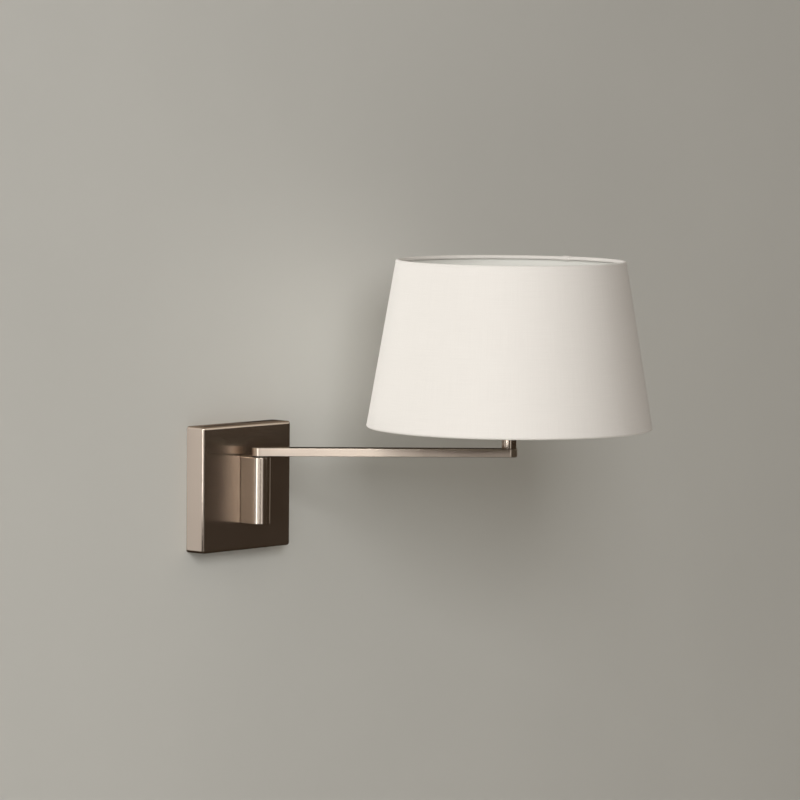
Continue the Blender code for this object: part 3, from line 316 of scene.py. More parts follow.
class Tree:
    """A material's nodes, with short calls for the few kinds that are used here."""

    def __init__(self, name):
        self.material = bpy.data.materials.new(name)
        self.material.use_nodes = True
        self.nodes = self.material.node_tree.nodes
        self.links = self.material.node_tree.links
        self.shader = self.nodes["Principled BSDF"]

    def set(self, **values):
        """Sets the shader's own sockets: underscores stand for spaces."""
        for name, value in values.items():
            self.shader.inputs[name.replace("_", " ")].default_value = value

    def feed(self, socket, source):
        if isinstance(source, bpy.types.NodeSocket):
            self.links.new(source, socket)
        else:
            socket.default_value = source

    def math(self, operation, first, second=0.0):
        node = self.nodes.new("ShaderNodeMath")
        node.operation = operation
        self.feed(node.inputs[0], first)
        self.feed(node.inputs[1], second)
        return node.outputs[0]

    def place(self, scale=(1, 1, 1), turn=0.0, centre=(0, 0, 0)):
        """Object coordinates about a centre, turned about Z and then scaled."""
        source = self.nodes.new("ShaderNodeTexCoord").outputs["Object"]
        shift = self.nodes.new("ShaderNodeMapping")
        shift.inputs["Location"].default_value = [-c for c in centre]
        self.links.new(source, shift.inputs["Vector"])
        turned = self.nodes.new("ShaderNodeMapping")
        turned.inputs["Rotation"].default_value = (0, 0, turn)
        self.links.new(shift.outputs[0], turned.inputs["Vector"])
        scaled = self.nodes.new("ShaderNodeMapping")
        scaled.inputs["Scale"].default_value = scale
        self.links.new(turned.outputs[0], scaled.inputs["Vector"])
        return scaled.outputs[0]

    def noise(self, vector, scale=1.0, detail=3.0, roughness=0.5):
        node = self.nodes.new("ShaderNodeTexNoise")
        node.inputs["Scale"].default_value = scale
        node.inputs["Detail"].default_value = detail
        node.inputs["Roughness"].default_value = roughness
        self.links.new(vector, node.inputs["Vector"])
        return node.outputs["Fac"]

    def spread(self, source, low, high, start=0.25, end=0.75):
        """Maps a noise value to a range."""
        node = self.nodes.new("ShaderNodeMapRange")
        node.inputs["From Min"].default_value = start
        node.inputs["From Max"].default_value = end
        node.inputs["To Min"].default_value = low
        node.inputs["To Max"].default_value = high
        self.feed(node.inputs["Value"], source)
        return node.outputs[0]

    def colours(self, share, first, second):
        node = self.nodes.new("ShaderNodeMix")
        node.data_type = "RGBA"
        self.feed(node.inputs["Factor"], share)
        for socket, colour in ((node.inputs["A"], first), (node.inputs["B"], second)):
            self.feed(socket, colour if isinstance(colour, bpy.types.NodeSocket) else (*colour, 1))
        return node.outputs["Result"]

    def bump(self, height, distance, strength=1.0):
        node = self.nodes.new("ShaderNodeBump")
        node.inputs["Distance"].default_value = distance
        node.inputs["Strength"].default_value = strength
        self.links.new(height, node.inputs["Height"])
        return node.outputs[0]

    def use(self, colour=None, roughness=None, normal=None):
        for name, source in (("Base Color", colour), ("Roughness", roughness), ("Normal", normal)):
            if source is not None:
                self.links.new(source, self.shader.inputs[name])
        return self.material


def shade_of(colour, factor):
    return tuple(min(1.0, channel * factor) for channel in colour)


def brushed_metal(name, colour, roughness, stretch, across, turn=0.0, rotation=0.0, along=None):
    """Metal with fine parallel scratches. across is how fast they change along each axis, per metre.

    With along, the scratches run that way on every side, and level faces are smoother than upright ones.
    """
    tree = Tree(name)
    tree.set(Metallic=1.0, Anisotropic=stretch, Anisotropic_Rotation=rotation, Specular_Tint=NICKEL_EDGE)
    lines = tree.noise(tree.place(across, turn), 1.0, 5.0, 0.65)
    smudges = tree.noise(tree.place(), 22.0, 3.0, 0.5)
    tone = tree.math("MULTIPLY", tree.math("ADD", smudges, lines), 0.5)
    base = tree.colours(tree.spread(tone, 0, 1, 0.3, 0.7), shade_of(colour, 0.97), shade_of(colour, 1.03))
    scratched = tree.spread(lines, roughness - 0.015, roughness + 0.02)
    rough = tree.math("ADD", scratched, tree.spread(smudges, -0.015, 0.02))
    if along:
        facing = tree.nodes.new("ShaderNodeNewGeometry").outputs["Normal"]
        across_them = tree.nodes.new("ShaderNodeVectorMath")
        across_them.operation = "CROSS_PRODUCT"
        tree.links.new(facing, across_them.inputs[0])
        across_them.inputs[1].default_value = along
        tree.links.new(across_them.outputs[0], tree.shader.inputs["Tangent"])
        split = tree.nodes.new("ShaderNodeSeparateXYZ")
        tree.links.new(facing, split.inputs[0])
        level = tree.math("ABSOLUTE", split.outputs["Z"])
        rough = tree.math("MULTIPLY", rough, tree.spread(level, 1.0, LEVEL_ROUGHNESS, 0.6, 0.95))
    return tree.use(base, rough, tree.bump(lines, METAL_GRAIN, 0.5))


def plain_metal(name, colour, roughness, mottle=260.0, vary=0.08):
    tree = Tree(name)
    tree.set(Metallic=1.0)
    spots = tree.noise(tree.place(), mottle, 4.0, 0.6)
    base = tree.colours(tree.spread(spots, 0, 1), shade_of(colour, 1 - vary), shade_of(colour, 1 + vary))
    rough = tree.spread(spots, roughness - 0.06, roughness + 0.08)
    return tree.use(base, rough, tree.bump(spots, 0.01 * MM, 0.4))


def moulded(name, colour, roughness, grain=1500.0, depth=0.02 * MM, vary=0.04, **more):
    """Plastic, enamel, powder coat, glass or china: a fine surface grain and a slow change of tone."""
    tree = Tree(name)
    tree.set(**more)
    fine = tree.noise(tree.place(), grain, 2.0, 0.5)
    slow = tree.noise(tree.place(), 45.0, 3.0, 0.5)
    base = tree.colours(tree.spread(slow, 0, 1), shade_of(colour, 1 - vary), shade_of(colour, 1 + vary))
    grainy = tree.spread(fine, roughness - 0.03, roughness + 0.03)
    rough = tree.math("ADD", grainy, tree.spread(slow, -0.03, 0.03))
    return tree.use(base, rough, tree.bump(fine, depth, 0.5))


def striped_wire(name, first, second, roughness):
    """Green insulation with a yellow stripe that winds along the wire."""
    tree = Tree(name)
    wave = tree.nodes.new("ShaderNodeTexWave")
    wave.bands_direction = "DIAGONAL"
    wave.inputs["Scale"].default_value = STRIPE_SCALE
    tree.links.new(tree.place(), wave.inputs["Vector"])
    base = tree.colours(tree.spread(wave.outputs["Fac"], 0, 1, 0.55, 0.62), first, second)
    fine = tree.noise(tree.place(), 1800.0, 2.0)
    rough = tree.spread(fine, roughness - 0.05, roughness + 0.05)
    return tree.use(base, rough, tree.bump(fine, 0.01 * MM, 0.5))


def woven(name, colour, pitch, centre, radius, roughness=0.88):
    """A fine plain weave laid round a vertical axis, with uneven threads, and a painted shade that makes the cloth
    slightly darker where the threads dip.
    """
    tree = Tree(name)
    tree.set(Sheen_Weight=0.12, Sheen_Roughness=0.5, Specular_IOR_Level=0.25)
    split = tree.nodes.new("ShaderNodeSeparateXYZ")
    tree.links.new(tree.place(centre=centre), split.inputs[0])
    x, y, z = split.outputs
    turn = tree.math("ARCTAN2", y, x)
    round_about = tree.math("MULTIPLY", turn, radius)
    join = tree.nodes.new("ShaderNodeCombineXYZ")
    tree.links.new(round_about, join.inputs["X"])
    tree.links.new(z, join.inputs["Y"])
    flat = join.outputs[0]

    def streaks(scale):
        stretch = tree.nodes.new("ShaderNodeMapping")
        stretch.inputs["Scale"].default_value = scale
        tree.links.new(flat, stretch.inputs["Vector"])
        return tree.noise(stretch.outputs[0], 1.0, 3.0, 0.6)

    weft = streaks((30, 1400, 1))  # threads round the shade
    warp = streaks((1400, 25, 1))  # threads up the shade
    wander = streaks((160, 160, 1))
    u = tree.math("ADD", tree.math("DIVIDE", round_about, pitch), tree.math("MULTIPLY", wander, 0.8))
    v = tree.math("ADD", tree.math("DIVIDE", z, pitch), tree.math("MULTIPLY", wander, 0.8))
    wave_u = tree.math("SINE", tree.math("MULTIPLY", u, math.pi))
    wave_v = tree.math("SINE", tree.math("MULTIPLY", v, math.pi))
    over = tree.math("MULTIPLY", wave_u, wave_v)
    lift = tree.math("MULTIPLY", over, 0.35)
    up = tree.math("MULTIPLY", tree.math("ABSOLUTE", wave_u), tree.math("ADD", 0.65, lift))
    along = tree.math("MULTIPLY", tree.math("ABSOLUTE", wave_v), tree.math("SUBTRACT", 0.65, lift))
    height = tree.math("MAXIMUM", up, along)
    threads = tree.math("ADD", tree.spread(weft, -0.5, 0.5), tree.spread(warp, -0.5, 0.5))
    # colour tone: painted shade in the dips of the weave relief, plus the real tone of the uneven threads
    tone = tree.math("ADD", tree.math("MULTIPLY", height, 0.55), tree.math("MULTIPLY", threads, 0.3))
    base = tree.colours(tree.spread(tone, 0, 1, 0.0, 0.8), shade_of(colour, 0.93), shade_of(colour, 1.02))
    relief = tree.math("ADD", height, tree.math("MULTIPLY", threads, 0.5))
    rough = tree.spread(tone, roughness - 0.05, roughness + 0.05)
    return tree.use(base, rough, tree.bump(relief, 0.05 * MM, 0.5))


# ---------------------------------------------------------------- camera, room and lights


def direction(azimuth, elevation):
    """The unit vector from the light towards a viewer at that azimuth and elevation in degrees."""
    turn = math.radians(azimuth)
    lift = math.radians(elevation)
    return Vector((math.sin(turn) * math.cos(lift), -math.cos(turn) * math.cos(lift), math.sin(lift)))


def make_camera():
    data = bpy.data.cameras.new("camera")
    data.lens = CAMERA_LENS
    data.sensor_width = SENSOR
    camera = bpy.data.objects.new("camera", data)
    bpy.context.scene.collection.objects.link(camera)
    towards = direction(-CAMERA_AZIMUTH, CAMERA_ELEVATION)
    camera.location = CAMERA_AIM + towards * CAMERA_DISTANCE
    turn = (-towards).to_track_quat("-Z", "Y").to_matrix().to_4x4()
    place = Matrix.Translation(camera.location)
    camera.matrix_world = place @ turn @ Matrix.Rotation(CAMERA_ROLL, 4, "Z")
    data.clip_start = 0.1
    data.clip_end = 50
    bpy.context.scene.camera = camera


def soft_light(name, azimuth, elevation, width, height, distance, power, on_metal=True, on_matt=True):
    """A rectangular light at that place round the lamp, facing it.

    It can be left out of reflections, or be seen in reflections only.
    """
    data = bpy.data.lights.new(name, "AREA")
    data.shape = "RECTANGLE"
    data.size = width
    data.size_y = height
    data.energy = power
    data.color = LIGHT_COLOUR
    light = bpy.data.objects.new(name, data)
    bpy.context.scene.collection.objects.link(light)
    towards = direction(azimuth, elevation)
    place = Matrix.Translation(LIGHT_AIM + towards * distance)
    turn = (-towards).to_track_quat("-Z", "Y").to_matrix().to_4x4()
    light.matrix_world = place @ turn
    light.visible_camera = False
    light.visible_glossy = on_metal
    light.visible_diffuse = on_matt


def plane(name, corners, material):
    bm = bmesh.new()
    bm.faces.new([bm.verts.new(corner) for corner in corners])
    mesh = bpy.data.meshes.new(name)
    bm.to_mesh(mesh)
    bm.free()
    obj = bpy.data.objects.new(name, mesh)
    bpy.context.scene.collection.objects.link(obj)
    mesh.materials.append(material)
    return obj


def stage_material(name, colour, vary=0.03):
    """Matt paint that is clear from behind, so that a view from the wall's side still shows the lamp."""
    tree = Tree(name)
    tree.set(Roughness=0.9, Specular_IOR_Level=0.1)
    cloud = tree.noise(tree.place(), 2.5, 4.0)
    base = tree.colours(tree.spread(cloud, 0, 1), shade_of(colour, 1 - vary), shade_of(colour, 1 + vary))
    tree.use(base)
    clear = tree.nodes.new("ShaderNodeBsdfTransparent")
    mix = tree.nodes.new("ShaderNodeMixShader")
    side = tree.nodes.new("ShaderNodeNewGeometry")
    tree.links.new(side.outputs["Backfacing"], mix.inputs["Fac"])
    tree.links.new(tree.shader.outputs["BSDF"], mix.inputs[1])
    tree.links.new(clear.outputs["BSDF"], mix.inputs[2])
    tree.links.new(mix.outputs["Shader"], tree.nodes["Material Output"].inputs["Surface"])
    return tree.material


def make_room():
    far = ROOM_REACH
    wall = plane(
        "wall",
        [(-far, WALL_GAP, FLOOR_Z), (far, WALL_GAP, FLOOR_Z), (far, WALL_GAP, far), (-far, WALL_GAP, far)],
        stage_material("wall_paint", WALL_PAINT),
    )
    floor = plane(
        "floor",
        [(-far, -far, FLOOR_Z), (far, -far, FLOOR_Z), (far, far, FLOOR_Z), (-far, far, FLOOR_Z)],
        stage_material("floor_paint", FLOOR_PAINT),
    )
    for obj in (wall, floor):
        obj.visible_glossy = False
        obj.visible_shadow = False


def make_world():
    """A dim room, brighter overhead."""
    world = bpy.data.worlds.new("room")
    bpy.context.scene.world = world
    world.use_nodes = True
    tree = world.node_tree
    place = tree.nodes.new("ShaderNodeTexCoord")
    split = tree.nodes.new("ShaderNodeSeparateXYZ")
    height = tree.nodes.new("ShaderNodeMapRange")
    mix = tree.nodes.new("ShaderNodeMix")
    mix.data_type = "RGBA"
    tree.links.new(place.outputs["Generated"], split.inputs["Vector"])
    tree.links.new(split.outputs["Z"], height.inputs["Value"])
    height.inputs["From Min"].default_value, height.inputs["From Max"].default_value = ROOM_FADE
    tree.links.new(height.outputs["Result"], mix.inputs["Factor"])
    mix.inputs["A"].default_value = ROOM_LOW
    mix.inputs["B"].default_value = ROOM_HIGH
    tree.links.new(mix.outputs["Result"], tree.nodes["Background"].inputs["Color"])


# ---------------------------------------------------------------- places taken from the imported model


def middle(node):
    low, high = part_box(node)
    return (low + high) / 2


def half_width(node):
    low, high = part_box(node)
    return (high.x - low.x) / 2


PLATE_LOW, PLATE_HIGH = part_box("backplate_cover")
BLOCK_LOW, BLOCK_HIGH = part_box("pivot_housing")
BLOCK_RADIUS = half_width("pivot_housing")
JOINT_AT = frame["joints"][0]["pos_m"]
PIVOT = Vector((JOINT_AT[0], JOINT_AT[1], 0))
ARM_LOW, ARM_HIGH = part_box("arm_beam")
ARM_RADIUS = PIVOT.x - ARM_LOW.x
LAMP = Vector((*middle("stem_tube").xy, 0))
ARM_TURN = math.atan2(LAMP.y - PIVOT.y, LAMP.x - PIVOT.x)
ARM_LENGTH = (LAMP - PIVOT).length
HOLDER_RADIUS = half_width("lampholder_skirt")

HEM_RADIUS = 2.0 * MM
HEM_THICK = 0.45 * MM
COVER_SET = 1.85 * MM  # rim wire's axis to the cover's outer face
COVER_THICK = 0.7 * MM
RIM_LOW = (half_width("shade_hem_bottom") - HEM_RADIUS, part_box("shade_hem_bottom")[0].z + HEM_RADIUS)
RIM_HIGH = (half_width("shade_hem_top") - HEM_RADIUS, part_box("shade_hem_top")[1].z - HEM_RADIUS)
SEAM_TURN = ARM_TURN + math.radians(55.5)
SEAM_WIDTH = 9 * MM
FOLD_WIDTH = 7 * MM
SPOKE_TURNS = [math.radians(angle) for angle in (45, 165, 285)]
ROUND = 240  # segments round the shade


def cover_radius(height, inset_by=0.0):
    """The shade's outer radius at a height, less an inset."""
    share = (height - RIM_LOW[1]) / (RIM_HIGH[1] - RIM_LOW[1])
    return RIM_LOW[0] + (RIM_HIGH[0] - RIM_LOW[0]) * share + COVER_SET - inset_by


# ---------------------------------------------------------------- metal pieces


def rounded_square(low, high, radius, count=6):
    points = []
    corners = ((high[0], high[1], 0), (low[0], high[1], 90), (low[0], low[1], 180), (high[0], low[1], 270))
    for x, y, start in corners:
        centre = (x - math.copysign(radius, x), y - math.copysign(radius, y))
        points += arc(centre, radius, start, start + 90, count)
    return points


def plate_cover():
    """The square wall box, open at the back, with softly rounded edges."""
    edge = 2.4 * MM
    corner = 2.5 * MM
    wall = 1.8 * MM
    outline = rounded_square((PLATE_LOW.x, PLATE_LOW.z), (PLATE_HIGH.x, PLATE_HIGH.z), corner)
    front = PLATE_LOW.y
    back = PLATE_HIGH.y
    rings = [(distance, front + depth) for distance, depth in reversed(edge_steps(edge, 6))]
    rings += [(0, back - 0.3 * MM), (0.05 * MM, back - 0.05 * MM), (0.2 * MM, back)]
    rings += [(wall - 0.2 * MM, back), (wall, back - 0.2 * MM), (wall, front + wall + 0.4 * MM)]
    rings += [(wall + 0.12 * MM, front + wall + 0.12 * MM), (wall + 0.4 * MM, front + wall)]
    bm = bmesh.new()
    flat_outline = [Vector(point) for point in outline]
    made = []
    for distance, y in rings:
        if distance > corner - 0.08 * MM:
            ring = [point * (1 - distance / PLATE_HIGH.x) for point in flat_outline]
        else:
            ring = inset(outline, distance)
        made.append([(point[0], y, point[1]) for point in ring])
    loft(bm, made)
    cover = finish_mesh("plate_cover", bm, NICKEL["plate"], "base")
    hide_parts("backplate_cover")
    through = [(4.6 * MM, middle("cable_grommet").z)]
    through += [(2.2 * MM, middle(f"housing_screw_{place}").z) for place in ("upper", "lower")]
    rods = [(radius, (0, front - MM, z), (0, front + 3 * MM, z)) for radius, z in through]
    for side in ("left", "right"):
        x, y = middle(f"cover_screw_{side}").xy
        rods.append((1.65 * MM, (x, y, PLATE_LOW.z - MM), (x, y, PLATE_LOW.z + 3 * MM)))
    drill(cover, *rods)


def block():
    """The pivot block: straight sides, half-round nose, bored from both ends and from its back."""
    back = BLOCK_HIGH.y
    corner = 0.6 * MM
    left = -BLOCK_RADIUS
    right = BLOCK_RADIUS
    outline = arc((PIVOT.x, PIVOT.y), BLOCK_RADIUS, 180, 360, 72)
    outline += arc((right - corner, back - corner), corner, 0, 90, 5)
    outline += arc((left + corner, back - corner), corner, 90, 180, 5)
    bm = bmesh.new()
    loft(bm, slab_rings(outline, BLOCK_LOW.z, BLOCK_HIGH.z, 0.45 * MM))
    made = finish_mesh("pivot_block", bm, NICKEL["block"], "base")
    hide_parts("pivot_housing")
    foot = (PIVOT.x, PIVOT.y, BLOCK_LOW.z - MM)
    shoulder = (PIVOT.x, PIVOT.y, 4 * MM)
    top = (PIVOT.x, PIVOT.y, BLOCK_HIGH.z + MM)
    rods = [(7.25 * MM, foot, shoulder), (6.5 * MM, (PIVOT.x, PIVOT.y, 3 * MM), top)]
    behind = back + MM
    for radius, node, end in (
        (4.5 * MM, "cable_grommet", PIVOT.y),
        (1.5 * MM, "stop_screw", PIVOT.y),
        (1.9 * MM, "housing_screw_upper", back - 6.6 * MM),
        (1.9 * MM, "housing_screw_lower", back - 6.6 * MM),
    ):
        height = middle(node).z
        rods.append((radius, (0, behind, height), (0, end, height)))
    drill(made, *rods)


def bottom_cap():
    low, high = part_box("housing_bottom_cap")
    radius = half_width("housing_bottom_cap")
    profile = [(0, high.z), (radius, high.z), (radius, low.z), (radius - 1.6 * MM, low.z)]
    profile += [(radius - 1.9 * MM, low.z + 0.25 * MM), (0, low.z + 0.25 * MM)]
    made = turned_piece("block_cap", profile, PIVOT, NICKEL["turned"], "base", 72, 0.2 * MM)
    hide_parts("housing_bottom_cap")


def stadium(start, end, radius, count=24):
    """The outline of a bar with round ends along X, anticlockwise."""
    return arc((end, 0), radius, -90, 90, count) + arc((start, 0), radius, 90, 270, count)


def on_arm(rings):
    """From the arm's own frame, with X along it from the pivot, to the shared frame."""
    turn = Matrix.Rotation(ARM_TURN, 4, "Z")
    return [[PIVOT + turn @ Vector(point) for point in ring] for ring in rings]


def bar(name, start, end, radius, low, high, edge, material, count=24):
    bm = bmesh.new()
    loft(bm, on_arm(slab_rings(stadium(start, end, radius, count), low, high, edge)))
    return finish_mesh(name, bm, material, "arm")


def arm():
    """The flat bar with round ends, rebated below for its cover strip."""
    made = bar("swing_arm", 0, ARM_LENGTH, ARM_RADIUS, ARM_LOW.z, ARM_HIGH.z, 0.4 * MM, NICKEL["arm"], 36)
    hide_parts("arm_beam")
    strip_low, strip_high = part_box("arm_cover_strip")
    half = 4.4 * MM
    start = 10.6 * MM
    seat = strip_high.z + 0.3 * MM
    roof = ARM_HIGH.z - 1.5 * MM
    nipple_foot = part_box("stem_nipple")[0].z - 0.2 * MM
    cutters = []
    for first, last, width, low, high in (
        (start, ARM_LENGTH, half + 0.25 * MM, ARM_LOW.z - MM, seat),
        (12 * MM, ARM_LENGTH - 12 * MM, 3.3 * MM, ARM_LOW.z, roof),
        (0, 12 * MM, 3.3 * MM, ARM_LOW.z + 3.2 * MM, roof),
        (ARM_LENGTH - 13 * MM, ARM_LENGTH, 3.3 * MM, ARM_LOW.z, nipple_foot),
    ):
        cutters.append(bar("cutter", first, last, width, low, high, 0.1 * MM, NICKEL["arm"]))
    cut_away(made, cutters)
    hole = 5.1 * MM
    drill(
        made,
        (hole, (PIVOT.x, PIVOT.y, ARM_LOW.z - MM), (PIVOT.x, PIVOT.y, ARM_LOW.z + 3.4 * MM)),
        (hole, (LAMP.x, LAMP.y, ARM_LOW.z + 3 * MM), (LAMP.x, LAMP.y, ARM_HIGH.z + MM)),
    )
    strip = bar("arm_strip", start, ARM_LENGTH, half, strip_low.z, strip_high.z, 0.15 * MM, NICKEL["arm"])
    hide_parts("arm_cover_strip")
    x, y = middle("strip_screw").xy
    drill(strip, (2.0 * MM, (x, y, strip_low.z - MM), (x, y, strip_low.z + 0.8 * MM)))
    drill(strip, (1.0 * MM, (x, y, strip_low.z - MM), (x, y, strip_high.z + MM)))


def stem():
    low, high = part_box("stem_tube")
    radius = half_width("stem_tube")
    bore = 5.15 * MM
    profile = [(radius, high.z), (radius, low.z), (bore, low.z), (bore, high.z)]
    made = turned_piece("stem", profile, LAMP, NICKEL["turned"], "arm", 96, 0.3 * MM)
    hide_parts("stem_tube")


# ---------------------------------------------------------------- lampholder and bulb


def fluted(obj, centre, outer, depth, count):
    """Presses upright flutes into the outer face of a turned piece."""
    for vertex in obj.data.vertices:
        x = vertex.co.x - centre.x
        y = vertex.co.y - centre.y
        radius = math.hypot(x, y)
        if radius > outer - 0.7 * MM:
            turn = math.atan2(y, x)
            press = depth * (0.5 - 0.5 * math.cos(count * turn)) ** 2
            share = (radius - press) / radius
            vertex.co.x = centre.x + x * share
            vertex.co.y = centre.y + y * share


def threaded(obj, centre, radius, low, high, pitch, depth):
    """Presses a helical thread into the outer face of a turned piece, fading out at both ends."""
    for vertex in obj.data.vertices:
        x = vertex.co.x - centre.x
        y = vertex.co.y - centre.y
        here = math.hypot(x, y)
        if here < radius - 0.3 * MM or not low < vertex.co.z < high:
            continue
        turn = math.atan2(y, x)
        fade = min(1.0, (vertex.co.z - low) / (0.6 * pitch), (high - vertex.co.z) / (0.6 * pitch))
        press = fade * depth * (0.5 - 0.5 * math.cos(2 * math.pi * vertex.co.z / pitch - turn))
        vertex.co.x = centre.x + x * (here - press) / here
        vertex.co.y = centre.y + y * (here - press) / here


def stepped(radius, low, high, step):
    """Points down a straight side, close enough together for a thread."""
    count = max(1, round((high - low) / step))
    return [(radius, high + (low - high) * i / count) for i in range(count + 1)]


def lampholder():
    plastic = LOOKS["black_plastic"]
    cap_low, cap_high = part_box("lampholder_cap")
    low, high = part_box("lampholder_skirt")
    radius = HOLDER_RADIUS
    wall = 1.5 * MM
    neck = 5.15 * MM
    dome = [(radius, cap_high.z), (radius, cap_high.z - 1.2 * MM)]
    dome += [(radius - 0.35 * MM, cap_high.z - 1.6 * MM), (radius - 0.35 * MM, cap_high.z - 5 * MM)]
    for x, z in arc((radius - 7 * MM, cap_low.z + 7 * MM), 6.6 * MM, 0, -70, 10):
        dome.append((x, z))
    dome += [(radius - 8.4 * MM, cap_low.z), (neck, cap_low.z), (neck, cap_low.z + wall)]
    dome += [(radius - 8.5 * MM, cap_low.z + wall), (radius - 3 * MM, cap_low.z + 5.4 * MM)]
    dome += [(radius - wall - 0.35 * MM, cap_low.z + 9 * MM), (radius - wall - 0.35 * MM, cap_high.z)]
    cap = turned_piece("holder_cap", dome, LAMP, plastic, "arm", 96)
    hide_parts("lampholder_cap")
    inner = radius - 2.1 * MM
    profile = [(radius - 0.5 * MM, high.z), (radius, high.z - 0.5 * MM)]
    profile += stepped(radius, low.z + 7 * MM, high.z - 4 * MM, 0.4 * MM)
    profile += [(radius, low.z + 6.5 * MM), (radius - 0.3 * MM, low.z + 6 * MM), (radius, low.z + 5.5 * MM)]
    profile += [(radius, low.z), (inner, low.z), (inner, high.z)]
    skirt = turned_piece("holder_skirt", profile, LAMP, plastic, "arm", 96)
    threaded(skirt, LAMP, radius, low.z + 7 * MM, high.z - 4 * MM, 3.0 * MM, 0.55 * MM)
    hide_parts("lampholder_skirt")
    for name in ("shade_ring_lower", "shade_ring_upper"):
        ring_low, ring_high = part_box(name)
        outer = half_width(name)
        bore = radius + 0.35 * MM
        flat = outer - 2.2 * MM
        profile = [(flat, ring_high.z), (outer, ring_high.z), (outer, ring_low.z), (flat, ring_low.z)]
        profile += [(bore, ring_low.z), (bore, ring_high.z)]
        ring = turned_piece(name + "_fine", profile, LAMP, plastic, "arm", 288, 0.5 * MM)
        fluted(ring, LAMP, outer, 0.45 * MM, 36)
        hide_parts(name)


def bulb():
    """A pear-shaped opal bulb in its rolled screw cap."""
    low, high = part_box("bulb_glass")
    radius = half_width("bulb_glass")
    centre_z = high.z - radius
    neck = 12.0 * MM
    outer = [(0, high.z)] + arc((0, centre_z), radius, 88, -35, 40)
    shoulder = outer[-1]
    slope = math.radians(35)
    pull = 0.016
    start = Vector(shoulder)
    end = Vector((neck, low.z + 12 * MM))
    start_pull = start + Vector((-math.sin(slope), -math.cos(slope))) * pull
    end_pull = end + Vector((0, pull * 1.1))
    for step in range(1, 25):
        t = step / 24
        u = 1 - t
        point = u**3 * start + 3 * u * u * t * start_pull + 3 * u * t * t * end_pull + t**3 * end
        outer.append(tuple(point))
    outer.append((neck - 0.3 * MM, low.z))
    inside = [(max(0.0, x - 0.9 * MM), z) for x, z in reversed(outer[1:])]
    inside = [(x, min(z, high.z - 0.9 * MM)) for x, z in inside]
    profile = outer + inside + [(0, high.z - 0.9 * MM)]
    glass = turned_piece("bulb", profile, LAMP, LOOKS["opal_glass"], "arm", 96, sharp=60)
    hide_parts("bulb_glass")
    cap_low, cap_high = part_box("bulb_cap")
    cap_radius = half_width("bulb_cap")
    sheet = 0.4 * MM
    wall = stepped(cap_radius, cap_low.z + 3 * MM, cap_high.z, 0.35 * MM)
    profile = wall + [(cap_radius - 1.5 * MM, cap_low.z + 2 * MM), (5.5 * MM, cap_low.z)]
    profile += [(5.2 * MM, cap_low.z + sheet), (cap_radius - 1.8 * MM, cap_low.z + 2 * MM + sheet)]
    profile += [(cap_radius - 1.2 * MM, cap_low.z + 3 * MM + sheet), (cap_radius - 1.2 * MM, cap_high.z)]
    cap = turned_piece("bulb_screw_cap", profile, LAMP, LOOKS["nickel_cap"], "arm", 96)
    threaded(cap, LAMP, cap_radius, cap_low.z + 3 * MM, cap_high.z - 2 * MM, 3.6 * MM, 0.7 * MM)
    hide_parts("bulb_cap")


# ---------------------------------------------------------------- shade


def cone(name, low_z, high_z, inset_by, thickness, material, rows=24):
    outer = []
    for i in range(rows + 1):
        height = high_z + (low_z - high_z) * i / rows
        outer.append((cover_radius(height, inset_by), height))
    inner = [(radius - thickness, height) for radius, height in reversed(outer)]
    bm = bmesh.new()
    lathe(bm, outer + inner, LAMP, ROUND, SEAM_TURN)
    return finish_mesh(name, bm, material, "arm")


def hem_waver(turn, height):
    """A small unevenness of the rolled hem round the shade."""
    phase = height * 40
    slow = math.sin(5 * turn + phase) + 0.6 * math.sin(11 * turn + 2 * phase)
    quick = 0.5 * math.sin(37 * turn + phase) + 0.35 * math.sin(71 * turn - phase)
    return 0.03 * MM * (slow + quick)


def rolled(name, rim, start, end, turns, grow, material, closed=True):
    """Cloth rolled round a rim wire from one angle to another, between two turns round the shade."""
    centre_radius, centre_z = rim
    outer = arc((0, 0), HEM_RADIUS + grow, start, end, 28)
    inner = arc((0, 0), HEM_RADIUS + grow - HEM_THICK, end, start, 28)
    profile = rounded(outer + inner, 0.12 * MM, 2)
    bm = bmesh.new()
    rings = []
    for turn in turns:
        swell = hem_waver(turn, centre_z)
        ring = []
        for x, z in profile:
            radius = centre_radius + x * (1 + swell / HEM_RADIUS)
            height = centre_z + z * (1 + swell / HEM_RADIUS)
            ring.append(on_circle(LAMP, radius, turn, height))
        rings.append(ring)
    loft(bm, rings, closed=closed)
    return finish_mesh(name, bm, material, "arm", 50)


def seam_strip(material):
    """The overlap of the cover's two ends, a strip up the back of the shade with thin edges."""
    low_z = RIM_LOW[1] + 1.4 * MM
    high_z = RIM_HIGH[1] - 1.4 * MM
    half = SEAM_WIDTH / 2
    across = [-1, -0.96, -0.8, -0.5, 0, 0.5, 0.8, 0.96, 1]
    bm = bmesh.new()
    rings = []
    for i in range(25):
        height = low_z + (high_z - low_z) * i / 24
        base = cover_radius(height)
        ring = []
        for lift_high, order in ((True, across), (False, reversed(across))):
            for share in order:
                lift = (0.62 if abs(share) < 0.9 else 0.3) if lift_high else 0.06
                turn = SEAM_TURN + share * half / base
                radius = base + lift * MM
                ring.append(on_circle(LAMP, radius, turn, height))
        rings.append(ring)
    loft(bm, rings)
    return finish_mesh("shade_seam_strip", bm, material, "arm", 50)


def wire_ring(name, rim, material):
    profile = arc((rim[0], rim[1]), 1.25 * MM, 0, 360 - 22.5, 15)
    bm = bmesh.new()
    lathe(bm, profile, LAMP, ROUND)
    return finish_mesh(name, bm, material, "arm", 60)


